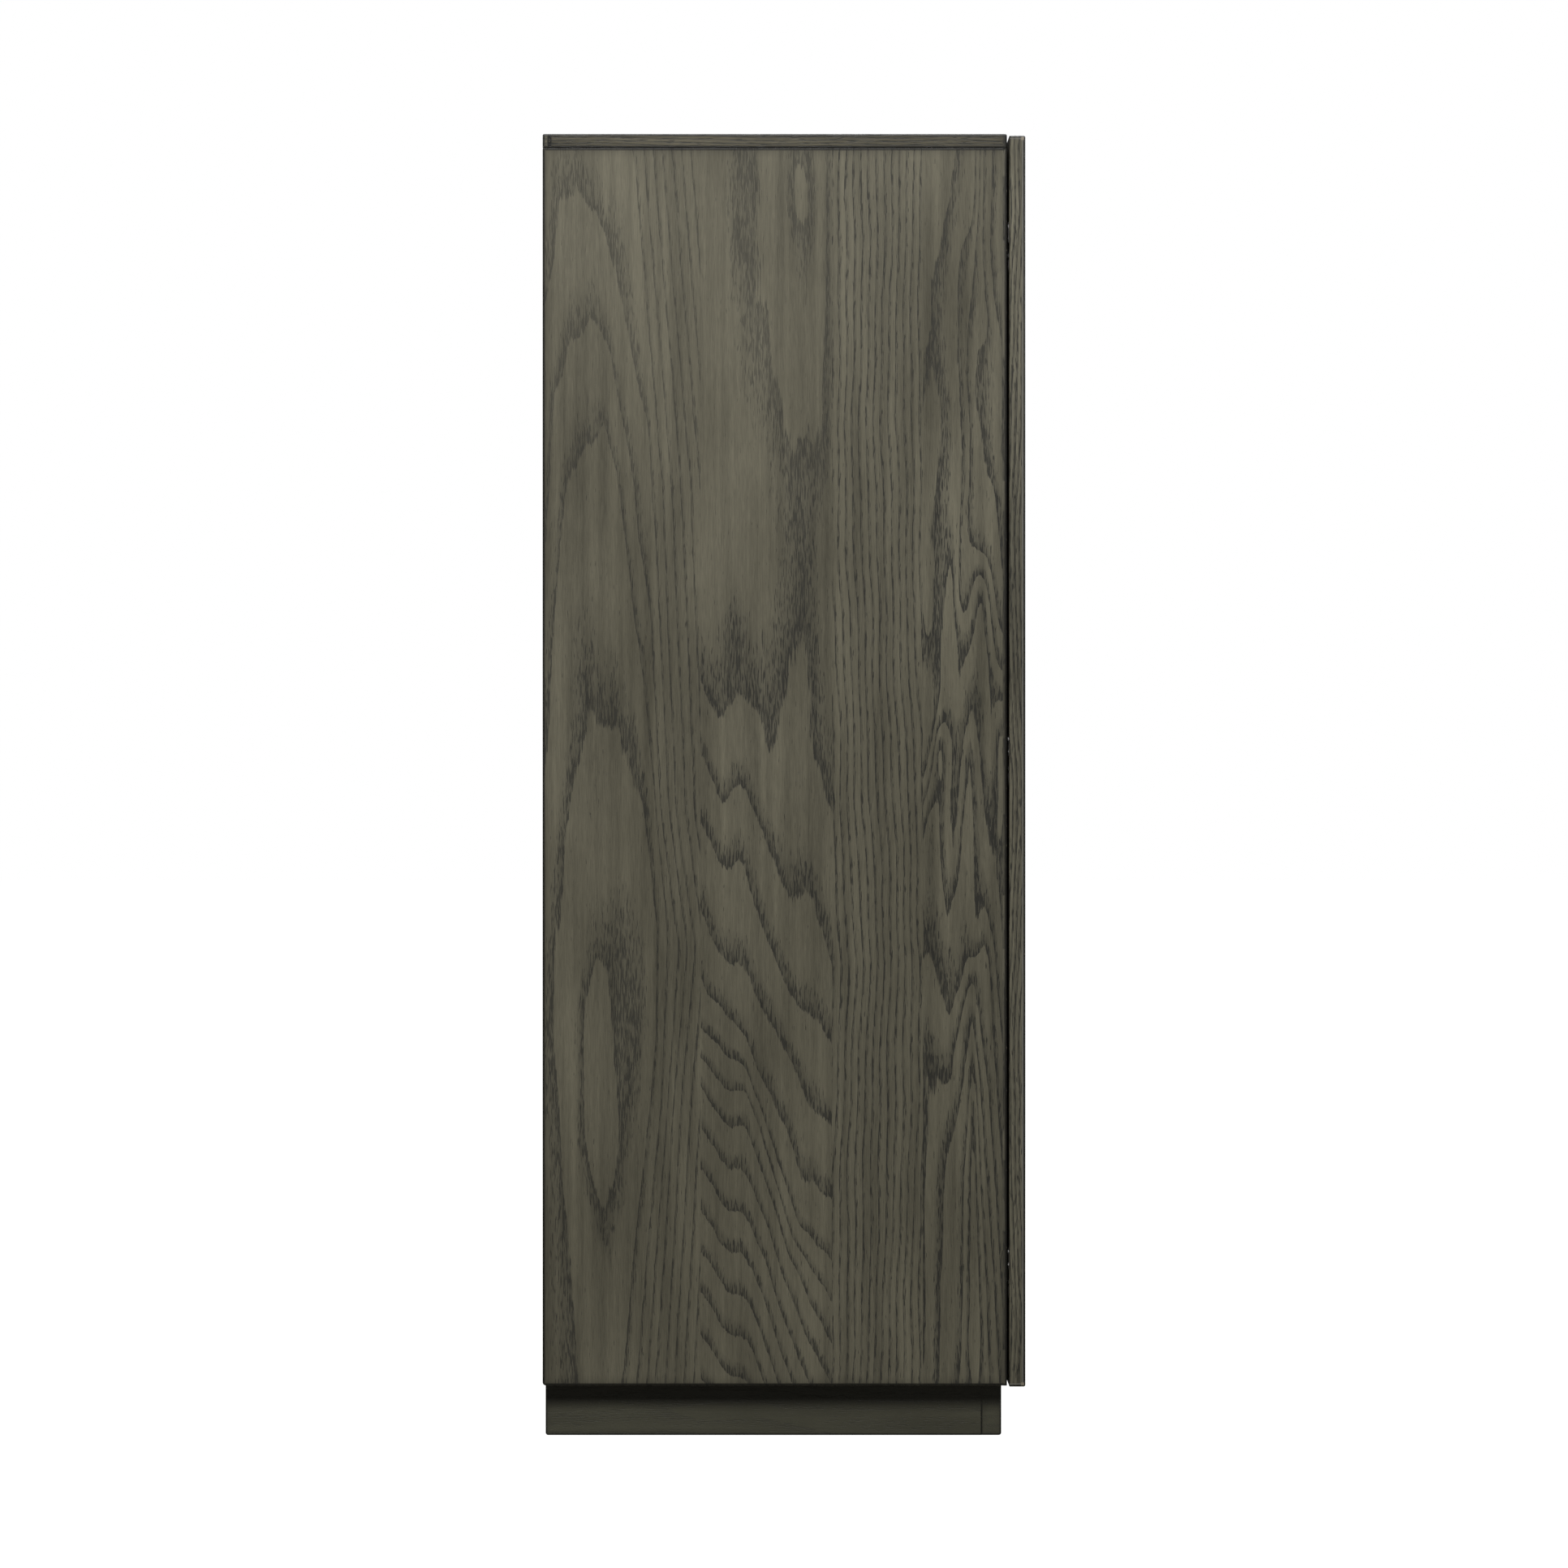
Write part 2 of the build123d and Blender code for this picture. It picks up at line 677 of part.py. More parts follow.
back_screw_radius = 1.5
back_screw_length = 16.0
back_screw_reach = 300.0        # the longest way between two screws
back_edge_x = inner_x + 3.8     # the screws into the sides' rabbets
back_side_margin = 40.0
back_row_x = 300.0              # the outermost screws of each row
back_row_z = 4.5                # the rows of the two panels, each side of the split
back_half_play = 0.5
back_split_z = fixed_shelf_z + panel / 2
back_half_width = inner_x + rabbet - back_half_play
back_spans = {"lower_back_panel": (plinth_height, back_split_z), "upper_back_panel": (back_split_z, top_z)}


def evenly(low, high):
    """Places from low to high, no further apart than back_screw_reach."""
    count = int((high - low) / back_screw_reach) + 2
    return [low + (high - low) * i / (count - 1) for i in range(count)]


def back_side_heights():
    """Heights of the screws into the sides' rabbets."""
    return [
        z
        for low, high in back_spans.values()
        for z in evenly(low + back_side_margin, high - back_side_margin)
    ]


def back_row_places():
    """Screws into the bottom panel, the fixed shelf (one row for each back panel) and the wall rail."""
    rows = (plinth_height + panel / 2, back_split_z - back_row_z, back_split_z + back_row_z, top_z - 12.0)
    return [(x, z) for z in rows for x in evenly(-back_row_x, back_row_x)]


def back_screw_places():
    beside = [(side * back_edge_x, z) for side in sides.values() for z in back_side_heights()]
    return beside + back_row_places()


def back_screw_holes(side):
    """Pilot holes in one side's rabbet."""
    return [
        bore((x, back_y, z), (0, -1, 0), back_screw_radius + pilot_fit, back_screw_length - back_thickness)
        for x, z in back_screw_places()
        if x * side > inner_x
    ]


def row_pilots(low, high):
    """Pilot holes in the rear edge of the board between two heights."""
    return [
        bore((x, back_y, z), (0, -1, 0), back_screw_radius + pilot_fit, back_screw_length - back_thickness)
        for x, z in back_row_places()
        if low < z < high
    ]


def back_panel(low, high):
    """A thin board in the rabbets. The upper one has the two holes for the wall screws."""
    board = block((-back_half_width, back_half_width), (back_y, back_y + back_thickness), (low, high))
    holes = [
        bore((x, back_y - 1, z), (0, 1, 0), back_screw_radius + pilot_fit, back_thickness + 2)
        for x, z in back_screw_places()
        if low < z < high
    ]
    return board - holes - wall_holes(back_y - 1, back_thickness + 2)


def back_panel_screws():
    y = back_y + back_thickness
    return [
        pan_screw((x, y, z), (0, -1, 0), back_screw_length, back_screw_radius)
        for x, z in back_screw_places()
    ]


# ---------------------------------------------------------------- plinth

plinth_half_width = half_width - plinth_side_inset
plinth_front_y = door_front_y + plinth_front_inset
plinth_rear_y = case_rear_y - plinth_rear_inset
plinth_inner_front_y = plinth_front_y + plinth_front_thickness
plinth_inner_rear_y = plinth_rear_y - panel
plinth_inner_x = plinth_half_width - panel
corner_block = 52.0
corner_block_z = (8.0, plinth_height)
plinth_screw_radius = 2.2
plinth_screw_length = 62.0
plinth_screw_offset = 18.0
plinth_foot_round = 3.0
plinth_side_round = 1.0
plinth_front_round = 1.5


def plinth_screw_places():
    """Screws through the four corner blocks."""
    return [
        (side * (plinth_inner_x - plinth_screw_offset), y)
        for side in sides.values()
        for y in (plinth_inner_front_y + plinth_screw_offset, plinth_inner_rear_y - plinth_screw_offset)
    ]


def plinth_pilots():
    depth = corner_block_z[0] + plinth_screw_length - plinth_height
    return [
        bore((x, y, plinth_height), (0, 0, 1), plinth_screw_radius + pilot_fit, depth)
        for x, y in plinth_screw_places()
    ]


def plinth_front():
    y = (plinth_front_y, plinth_inner_front_y)
    board = block((-plinth_half_width, plinth_half_width), y, (0, plinth_height))
    board = ease(board, plinth_foot_round, Axis.X, Y=plinth_front_y, Z=0)
    return ease(board, plinth_front_round, Axis.Z, Y=plinth_front_y)


def plinth_side(side):
    x = span(side, plinth_inner_x, plinth_half_width)
    board = block(x, (plinth_inner_front_y, plinth_rear_y), (0, plinth_height))
    board = ease(board, plinth_foot_round, Axis.X, Y=plinth_rear_y, Z=0)
    return ease(board, plinth_side_round, Axis.Y, X=side * plinth_half_width, Z=0)


def plinth_rear():
    return block((-plinth_inner_x, plinth_inner_x), (plinth_inner_rear_y, plinth_rear_y), (0, plinth_height))


def plinth_brace():
    return block((-panel / 2, panel / 2), (plinth_inner_front_y, plinth_inner_rear_y), (0, plinth_height))


def corner_blocks():
    """Four glued triangular blocks in the plinth's corners."""
    blocks = []
    low, high = corner_block_z
    for side in sides.values():
        for y, inwards in ((plinth_inner_front_y, 1), (plinth_inner_rear_y, -1)):
            corner = side * plinth_inner_x
            outline = Polyline(
                (corner, y),
                (corner - side * corner_block, y),
                (corner, y + inwards * corner_block),
                (corner, y),
            )
            prism = extrude(Pos(0, 0, low) * make_face(outline), (high - low), dir=(0, 0, 1))
            blocks.append(prism)
    holes = [
        countersink((x, y, low), (0, 0, 1), plinth_screw_radius, high - low + 1)
        for x, y in plinth_screw_places()
    ]
    return [b - holes for b in blocks]


def plinth_screws():
    return [
        countersunk_screw((x, y, corner_block_z[0]), (0, 0, 1), plinth_screw_length, plinth_screw_radius)
        for x, y in plinth_screw_places()
    ]


# ---------------------------------------------------------------- doors

door_hinge_x = half_width
door_free_x = door_middle_gap / 2
door_round = 2.0
door_back_round = 1.0
bumper_radius = 4.0
bumper_height = 2.2
bumper_x = 22.0
bumper_round = 1.4
bumper_z = (plinth_height + panel / 2, top_z + top_thickness / 2)


def door_panel():
    """The left door's veneered core, bored for its hinges and screws."""
    x = (-door_hinge_x + door_lipping, -door_free_x - door_lipping)
    core = block(x, (door_front_y, door_back_y), (door_bottom_z + door_lipping, door_top_z - door_lipping))
    for z in hinge_z:
        core -= cup_space(cup_bore_radius, cup_bore_depth, z)
        core -= [
            countersink(place(cup_screw_across, -flange_thickness, z + up), (0, -1, 0), hinge_screw_radius,
                        cup_screw_length)
            for up in (-cup_screw_spread, cup_screw_spread)
        ]
    core -= [
        countersink(strike_face(-latch_from_middle, z), (0, -1, 0), latch_screw_radius, latch_screw_length)
        for z in latch_undersides
    ]
    return core


def door_upright(outer_x, strip_inner_x):
    """An upright lipping, the door's whole height. Its last rounding runs all round its outer face."""
    x = tuple(sorted((outer_x, strip_inner_x)))
    strip = block(x, (door_front_y, door_back_y), (door_bottom_z, door_top_z))
    strip = ease(strip, door_round, Axis.X, Y=door_front_y)
    strip = ease(strip, door_back_round, Axis.X, Y=door_back_y)
    return ease(strip, door_round, Axis.Z, X=outer_x, Y=door_front_y)


def door_crosspiece(outer_z, inner_z):
    """The lipping on a door's top or bottom edge, between the uprights."""
    x = (-door_hinge_x + door_lipping, -door_free_x - door_lipping)
    strip = block(x, (door_front_y, door_back_y), tuple(sorted((outer_z, inner_z))))
    strip = ease(strip, door_round, Axis.X, Y=door_front_y, Z=outer_z)
    return ease(strip, door_back_round, Axis.X, Y=door_back_y, Z=outer_z)


def door_lippings():
    return [
        door_upright(-door_hinge_x, -door_hinge_x + door_lipping),
        door_upright(-door_free_x, -door_free_x - door_lipping),
        door_crosspiece(door_top_z, door_top_z - door_lipping),
        door_crosspiece(door_bottom_z, door_bottom_z + door_lipping),
    ]


def door_bumper(z):
    """A soft button that meets the case's front edge."""
    button = bore((-bumper_x, door_back_y, z), (0, 1, 0), bumper_radius, bumper_height)
    return fillet(button.edges().sort_by(Axis.Y)[-1], bumper_round)


# ---------------------------------------------------------------- writing the nodes

save("plinth_front_board", plinth_front())
save("plinth_rear_board", plinth_rear())
save("plinth_centre_brace", plinth_brace())
save("plinth_corner_blocks", *corner_blocks())
save("plinth_screws", *plinth_screws())

save("bottom_panel", bottom_panel() - row_pilots(plinth_height, floor_z))
save("bottom_panel_lipping", front_strip(inner_x, case_front_y, plinth_height))
save("fixed_shelf", fixed_shelf() - row_pilots(fixed_shelf_z, fixed_shelf_z + panel))
save("fixed_shelf_lipping", front_strip(inner_x, case_front_y + fixed_shelf_setback, fixed_shelf_z))
save("wall_rail", wall_rail() - row_pilots(top_z - rail_height, top_z))
for name, z in adjustable_shelf_z.items():
    save(name, adjustable_shelf(z))
    half_length = inner_x - shelf_side_clearance
    save(f"{name}_lipping", front_strip(half_length, case_front_y + shelf_front_setback, z))
save(
    "shelf_pins",
    *[
        shelf_pin(side, y, z)
        for side in sides.values()
        for y in pin_rows_y
        for z in adjustable_shelf_z.values()
    ],
)

save("top_panel", top_panel())
save("top_front_lipping", top_edge_strip((case_front_y, core_front_y), case_front_y))
save("top_rear_lipping", top_edge_strip((case_rear_y - top_rear_lipping, case_rear_y), case_rear_y))
save("top_side_lippings", *[top_side_strip(side) for side in sides.values()])
save("side_veneers", *[side_veneer(side) for side in sides.values()])

for name, (low, high) in back_spans.items():
    save(name, back_panel(low, high))
save("back_panel_screws", *back_panel_screws())
save("carcass_dowels", *carcass_dowels())

save(
    "latch_cases",
    *[latch_case(s * latch_from_middle, z) for s in sides.values() for z in latch_undersides],
)
save(
    "latch_screws",
    *[
        countersunk_screw((x, y, z - latch_base[1]), (0, 0, 1), latch_screw_length, latch_screw_radius)
        for s in sides.values()
        for z in latch_undersides
        for x, y in latch_screw_places(s * latch_from_middle)
    ],
)

for hand, side in sides.items():
    latch_x = side * latch_from_middle
    save(f"{hand}_side_panel", side_panel(side))
    save(f"{hand}_side_lipping", side_lipping(side))
    save(f"{hand}_plinth_board", plinth_side(side))

    save(f"{hand}_door_panel", *to_side(side, [door_panel()]))
    save(f"{hand}_door_lippings", *to_side(side, door_lippings()))
    save(f"{hand}_door_bumpers", *to_side(side, [door_bumper(z) for z in bumper_z]))
    save(f"{hand}_strike_plates", *[strike(latch_x, z) for z in latch_undersides])
    plungers = [latch_plunger(latch_x, z) - latch_magnet(latch_x, z) for z in latch_undersides]
    save(f"{hand}_latch_plungers", *plungers)
    save(f"{hand}_latch_magnets", *[latch_magnet(latch_x, z) for z in latch_undersides])

    save(f"{hand}_hinge_cups", *to_side(side, [hinge_cup(z) for z in hinge_z]))
    save(f"{hand}_hinge_cup_screws", *to_side(side, [s for z in hinge_z for s in cup_screws(z)]))
    save(f"{hand}_hinge_pins", *to_side(side, [hinge_pin(z) for z in hinge_z]))
    save(f"{hand}_hinge_arms", *to_side(side, [hinge_arm(z) for z in hinge_z]))
    save(f"{hand}_hinge_plates", *to_side(side, [mounting_plate(z) for z in hinge_z]))
    save(f"{hand}_hinge_plate_screws", *to_side(side, [s for z in hinge_z for s in plate_screws(z)]))
    save(f"{hand}_hinge_arm_screws", *to_side(side, [s for z in hinge_z for s in arm_screws(z)]))
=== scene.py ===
import json
import math
import bpy
import numpy as np
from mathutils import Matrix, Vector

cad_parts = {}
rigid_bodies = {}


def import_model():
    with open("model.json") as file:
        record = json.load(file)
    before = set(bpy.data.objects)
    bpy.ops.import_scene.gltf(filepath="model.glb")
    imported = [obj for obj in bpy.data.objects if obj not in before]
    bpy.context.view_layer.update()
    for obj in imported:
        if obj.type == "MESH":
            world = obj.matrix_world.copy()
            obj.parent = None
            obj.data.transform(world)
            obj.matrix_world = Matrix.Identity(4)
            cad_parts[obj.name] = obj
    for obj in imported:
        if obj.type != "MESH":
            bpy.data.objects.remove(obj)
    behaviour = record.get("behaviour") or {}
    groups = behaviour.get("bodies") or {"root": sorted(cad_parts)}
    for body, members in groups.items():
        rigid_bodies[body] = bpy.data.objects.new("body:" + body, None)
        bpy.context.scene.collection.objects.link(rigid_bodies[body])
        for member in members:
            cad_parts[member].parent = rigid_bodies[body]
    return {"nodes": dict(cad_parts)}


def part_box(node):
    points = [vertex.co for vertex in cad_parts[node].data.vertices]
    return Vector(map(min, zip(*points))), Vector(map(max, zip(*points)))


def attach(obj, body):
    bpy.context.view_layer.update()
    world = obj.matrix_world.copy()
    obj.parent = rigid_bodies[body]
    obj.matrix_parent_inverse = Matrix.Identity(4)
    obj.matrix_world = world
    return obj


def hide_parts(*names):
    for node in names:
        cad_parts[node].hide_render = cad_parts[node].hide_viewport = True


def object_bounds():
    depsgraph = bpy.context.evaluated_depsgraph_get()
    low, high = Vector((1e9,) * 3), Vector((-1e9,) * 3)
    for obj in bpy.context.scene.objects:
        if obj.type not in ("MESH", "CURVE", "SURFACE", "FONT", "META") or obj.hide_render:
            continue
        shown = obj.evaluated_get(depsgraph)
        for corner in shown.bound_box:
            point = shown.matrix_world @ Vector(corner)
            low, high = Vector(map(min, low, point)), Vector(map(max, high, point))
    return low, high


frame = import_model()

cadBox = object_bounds()
cadLow, cadHigh = [list(corner) for corner in cadBox]
scene = bpy.context.scene
nodes = frame["nodes"]
print("frame loaded:", len(nodes), "nodes")


def addNode(tree, kind, **settings):
    made = tree.nodes.new(kind)
    for key, value in settings.items():
        setattr(made, key, value)
    return made


def feed(tree, socket, value):
    # a socket is linked, anything else is set as the socket's own value
    if isinstance(value, bpy.types.NodeSocket):
        tree.links.new(value, socket)
    elif value is not None:
        socket.default_value = value


def calc(tree, operation, first, second=None, third=None, clamp=False):
    made = addNode(tree, "ShaderNodeMath", operation=operation, use_clamp=clamp)
    for socket, value in zip(made.inputs, (first, second, third)):
        feed(tree, socket, value)
    return made.outputs[0]


def spread(tree, value, low, high, newLow, newHigh, smooth=False):
    made = addNode(tree, "ShaderNodeMapRange", clamp=True)
    made.interpolation_type = "SMOOTHSTEP" if smooth else "LINEAR"
    for socket, number in zip(made.inputs[:5], (value, low, high, newLow, newHigh)):
        feed(tree, socket, number)
    return made.outputs[0]


def vector(tree, x=0.0, y=0.0, z=0.0):
    made = addNode(tree, "ShaderNodeCombineXYZ")
    for socket, value in zip(made.inputs, (x, y, z)):
        feed(tree, socket, value)
    return made.outputs[0]


def noise(tree, where, scale=1.0, detail=2.0, rough=0.5):
    made = addNode(tree, "ShaderNodeTexNoise")
    feed(tree, made.inputs["Vector"], where)
    made.inputs["Scale"].default_value = scale
    made.inputs["Detail"].default_value = detail
    made.inputs["Roughness"].default_value = rough
    return made.outputs["Fac"]


def mixColour(tree, amount, first, second, blend="MIX"):
    made = addNode(tree, "ShaderNodeMix", data_type="RGBA", blend_type=blend)
    feed(tree, made.inputs[0], amount)
    feed(tree, made.inputs[6], first)
    feed(tree, made.inputs[7], second)
    return made.outputs[2]


def newGroup(name, inputs, outputs):
    tree = bpy.data.node_groups.new(name, "ShaderNodeTree")
    for label, kind, default in inputs:
        socket = tree.interface.new_socket(label, in_out="INPUT", socket_type=kind)
        socket.default_value = default
    for label, kind in outputs:
        tree.interface.new_socket(label, in_out="OUTPUT", socket_type=kind)
    return tree, tree.nodes.new("NodeGroupInput").outputs, tree.nodes.new("NodeGroupOutput").inputs


def useGroup(tree, group, **values):
    made = addNode(tree, "ShaderNodeGroup", node_tree=group)
    for label, value in values.items():
        feed(tree, made.inputs[label], value)
    return made.outputs


floatSocket, vectorSocket = "NodeSocketFloat", "NodeSocketVector"


# scales are cells to a metre, across and along the grain
bandSize = {
    "fine": (420.0, 14.0),
    "slow": (55.0, 7.0), "sway": 0.30,
    "start": 0.025,               # the part of a ring over which the band sets in
    "curve": 0.75,
}


def makeRingBand():
    # ring number plus a fine streaky offset, so that a ring's edge is toothed; its fraction gives
    # the dark porous band, which starts sharply at each whole number and fades
    tree, take, give = newGroup("ringBand", [
        ("Ring", floatSocket, 0.0), ("Across", floatSocket, 0.0), ("Along", floatSocket, 0.0),
        ("Teeth", floatSocket, 0.2), ("Fade", floatSocket, 0.36)],
        [("Band", floatSocket)])
    fine, slow = [vector(tree, calc(tree, "MULTIPLY", take["Across"], across),
                         calc(tree, "MULTIPLY", take["Along"], along))
                  for across, along in (bandSize["fine"], bandSize["slow"])]
    fine = noise(tree, fine, detail=3.0, rough=0.6)
    slow = noise(tree, slow, detail=2.0)
    teeth = calc(tree, "MULTIPLY", calc(tree, "SUBTRACT", fine, 0.5), take["Teeth"])
    sway = calc(tree, "MULTIPLY", calc(tree, "SUBTRACT", slow, 0.5), bandSize["sway"])
    age = calc(tree, "FRACT", calc(tree, "ADD", take["Ring"], calc(tree, "ADD", teeth, sway)))
    band = calc(tree, "SUBTRACT", 1.0, calc(tree, "DIVIDE", age, take["Fade"]), clamp=True)
    rise = spread(tree, age, 0.0, bandSize["start"], 0.0, 1.0)
    feed(tree, give["Band"], calc(tree, "MULTIPLY", rise, calc(tree, "POWER", band, bandSize["curve"])))
    return tree


poreSize = {"across": 900.0, "along": 68.0, "edge": 0.07}


def makePoreDash():
    # long narrow noise cells along the grain; the more porous the band, the lower the threshold
    tree, take, give = newGroup("poreDash", [
        ("Across", floatSocket, 0.0), ("Along", floatSocket, 0.0), ("Depth", floatSocket, 0.0),
        ("Band", floatSocket, 0.0), ("Open", floatSocket, 0.70), ("Pull", floatSocket, 0.27)],
        [("Pores", floatSocket)])
    cells = noise(tree, vector(tree, calc(tree, "MULTIPLY", take["Across"], poreSize["across"]),
                               calc(tree, "MULTIPLY", take["Along"], poreSize["along"]),
                               calc(tree, "MULTIPLY", take["Depth"], poreSize["across"])), detail=1.0)
    edge = calc(tree, "SUBTRACT", take["Open"], calc(tree, "MULTIPLY", take["Band"], take["Pull"]))
    over = calc(tree, "DIVIDE", calc(tree, "SUBTRACT", cells, edge), poreSize["edge"], clamp=True)
    feed(tree, give["Pores"], over)
    return tree


# output: (cells to a metre across the grain, and along it, detail)
fibreSize = {"Fine": (1500.0, 60.0, 2.0), "Streak": (95.0, 2.6, 3.0), "Cloud": (9.0, 3.2, 3.0)}


def makeFibre():
    # fine streaks and slow cloudy tones along the grain, both about 0.5
    tree, take, give = newGroup("fibre", [
        ("Across", floatSocket, 0.0), ("Along", floatSocket, 0.0), ("Depth", floatSocket, 0.0)],
        [(label, floatSocket) for label in fibreSize])
    for label, (across, along, detail) in fibreSize.items():
        feed(tree, give[label], noise(tree, vector(
            tree, calc(tree, "MULTIPLY", take["Across"], across),
            calc(tree, "MULTIPLY", take["Along"], along),
            calc(tree, "MULTIPLY", take["Depth"], across)), detail=detail))
    return tree


boardSize = {
    "shift": 0.9,                 # how far a heart line may lie from its leaf's middle, in leaves
    "bend": 0.05, "bendAlong": 2.4,
    "blunt": 1.6,                 # how blunt the tips of the arches are
    "wander": 3.2, "wanderAcross": 16.0, "wanderAlong": 3.4,
    "seam": (0.0002, 0.0008),     # metres over which the line between two leaves fades
}


def makeBoardFigure():
    # leaves side by side, each with its own heart line: the ring number is the root of the squared
    # distance from that line, plus the height over the arch length, plus a slow wander
    tree, take, give = newGroup("boardFigure", [
        ("Across", floatSocket, 0.0), ("Along", floatSocket, 0.0), ("Leaf", floatSocket, 0.15),
        ("Spacing", floatSocket, 0.010), ("Arch", floatSocket, 0.30), ("Seed", floatSocket, 0.0)],
        [("Ring", floatSocket), ("Tint", floatSocket), ("Seam", floatSocket)])
    place = calc(tree, "ADD", calc(tree, "DIVIDE", take["Across"], take["Leaf"]), take["Seed"])
    inLeaf = calc(tree, "SUBTRACT", calc(tree, "FRACT", place), 0.5)
    chance = addNode(tree, "ShaderNodeTexWhiteNoise", noise_dimensions="1D")
    feed(tree, chance.inputs["W"], calc(tree, "ADD", calc(tree, "FLOOR", place), take["Seed"]))
    parts = addNode(tree, "ShaderNodeSeparateColor")
    feed(tree, parts.inputs[0], chance.outputs["Color"])
    shift = calc(tree, "MULTIPLY", calc(tree, "SUBTRACT", parts.outputs[0], 0.5), boardSize["shift"])
    fromHeart = calc(tree, "MULTIPLY", calc(tree, "SUBTRACT", inLeaf, shift), take["Leaf"])
    bend = noise(tree, vector(tree, calc(tree, "MULTIPLY", parts.outputs[1], 40.0),
                              calc(tree, "MULTIPLY", take["Along"], boardSize["bendAlong"])), detail=2.0)
    bend = calc(tree, "MULTIPLY", calc(tree, "SUBTRACT", bend, 0.5), boardSize["bend"])
    fromHeart = calc(tree, "ABSOLUTE", calc(tree, "ADD", fromHeart, bend))
    squared = calc(tree, "POWER", calc(tree, "DIVIDE", fromHeart, take["Spacing"]), 2.0)
    root = calc(tree, "SQRT", calc(tree, "ADD", squared, boardSize["blunt"]))
    rise = calc(tree, "DIVIDE", calc(tree, "ADD", take["Along"], parts.outputs[2]), take["Arch"])
    wander = noise(tree, vector(tree, calc(tree, "MULTIPLY", take["Across"], boardSize["wanderAcross"]),
                                calc(tree, "MULTIPLY", take["Along"], boardSize["wanderAlong"]),
                                calc(tree, "MULTIPLY", parts.outputs[0], 30.0)), detail=2.0)
    rise = calc(tree, "ADD", rise, calc(tree, "MULTIPLY", wander, boardSize["wander"]))
    feed(tree, give["Ring"], calc(tree, "ADD", root, rise))
    feed(tree, give["Tint"], parts.outputs[1])
    fromSeam = calc(tree, "SUBTRACT", 0.5, calc(tree, "ABSOLUTE", inLeaf))
    fromSeam = calc(tree, "MULTIPLY", fromSeam, take["Leaf"])
    feed(tree, give["Seam"], spread(tree, fromSeam, *boardSize["seam"], 1.0, 0.0))
    return tree


# metres from an arris, except the cells to a metre of the two noises and the threshold
arrisSize = {
    "wavy": 28.0, "speck": 190.0, "worn": (0.80, 0.88), "wornReach": 0.0022,
    "stripStart": (0.0020, 0.0026), "stripEnd": (0.0036, 0.0044),
    "cornerStart": (0.0012, 0.0020), "cornerEnd": (0.0044, 0.0056),
    "glazePower": 1.6,            # how fast the dark glaze fades away from the arris
    "lineGain": 1.8,              # how much of the groove is quite dark
}


def makeArris():
    # distance to the nearest edge of a board between two corners: of the three distances to its
    # pairs of faces one is nothing, so the middle one of the three is the distance wanted
    tree, take, give = newGroup("arris", [
        ("Position", vectorSocket, (0.0, 0.0, 0.0)), ("Low", vectorSocket, (0.0, 0.0, 0.0)),
        ("High", vectorSocket, (1.0, 1.0, 1.0)), ("Width", floatSocket, 0.01),
        ("Groove", floatSocket, 0.0018), ("Rub", floatSocket, 0.3)],
        [("Glaze", floatSocket), ("Line", floatSocket), ("Worn", floatSocket), ("Band", floatSocket),
         ("Corner", floatSocket)])
    parts = []
    for label in ("Position", "Low", "High"):
        split = addNode(tree, "ShaderNodeSeparateXYZ")
        feed(tree, split.inputs[0], take[label])
        parts.append(split.outputs)
    gaps = []
    for place, least, most in zip(*[list(outputs)[:3] for outputs in parts]):
        gap = calc(tree, "MINIMUM", calc(tree, "SUBTRACT", place, least), calc(tree, "SUBTRACT", most, place))
        gaps.append(calc(tree, "ABSOLUTE", gap))
    lower = calc(tree, "MINIMUM", gaps[0], gaps[1])
    upper = calc(tree, "MAXIMUM", gaps[0], gaps[1])
    nearest = calc(tree, "MAXIMUM", lower, calc(tree, "MINIMUM", upper, gaps[2]))
    wavy = noise(tree, take["Position"], scale=arrisSize["wavy"], detail=4.0, rough=0.65)
    soft = calc(tree, "SUBTRACT", 1.0, calc(tree, "DIVIDE", nearest, take["Width"]), clamp=True)
    feed(tree, give["Glaze"], calc(tree, "MULTIPLY", calc(tree, "POWER", soft, arrisSize["glazePower"]),
                                   spread(tree, wavy, 0.25, 0.7, 0.55, 1.0)))
    # painted shade: a dark line within Groove of the arris, where the rounded edge and the groove between
    # parts fall into shade
    line = calc(tree, "SUBTRACT", 1.0, calc(tree, "DIVIDE", nearest, take["Groove"]), clamp=True)
    line = calc(tree, "MULTIPLY", line, arrisSize["lineGain"], clamp=True)
    feed(tree, give["Line"], calc(tree, "MULTIPLY", line, spread(tree, wavy, 0.2, 0.5, 0.85, 1.0)))
    speck = noise(tree, take["Position"], scale=arrisSize["speck"], detail=3.0, rough=0.7)
    near = spread(tree, nearest, 0.0, arrisSize["wornReach"], 1.0, 0.0)
    speck = calc(tree, "ADD", speck, calc(tree, "MULTIPLY", take["Rub"], near))
    worn = spread(tree, speck, *arrisSize["worn"], 0.0, 1.0)
    feed(tree, give["Worn"], calc(tree, "MULTIPLY", worn, near))
    # a painted highlight strip just inside the arris, and a spot where two arrises meet
    strip = calc(tree, "MULTIPLY", spread(tree, nearest, *arrisSize["stripStart"], 0.0, 1.0, True),
                 spread(tree, nearest, *arrisSize["stripEnd"], 1.0, 0.0, True))
    feed(tree, give["Band"], calc(tree, "MULTIPLY", strip, spread(tree, wavy, 0.3, 0.6, 0.4, 1.0)))
    farther = calc(tree, "MAXIMUM", upper, gaps[2])
    outer = spread(tree, nearest, *arrisSize["cornerStart"], 0.0, 1.0)
    inner = spread(tree, farther, *arrisSize["cornerEnd"], 1.0, 0.0)
    feed(tree, give["Corner"], calc(tree, "MULTIPLY", inner, outer))
    return tree


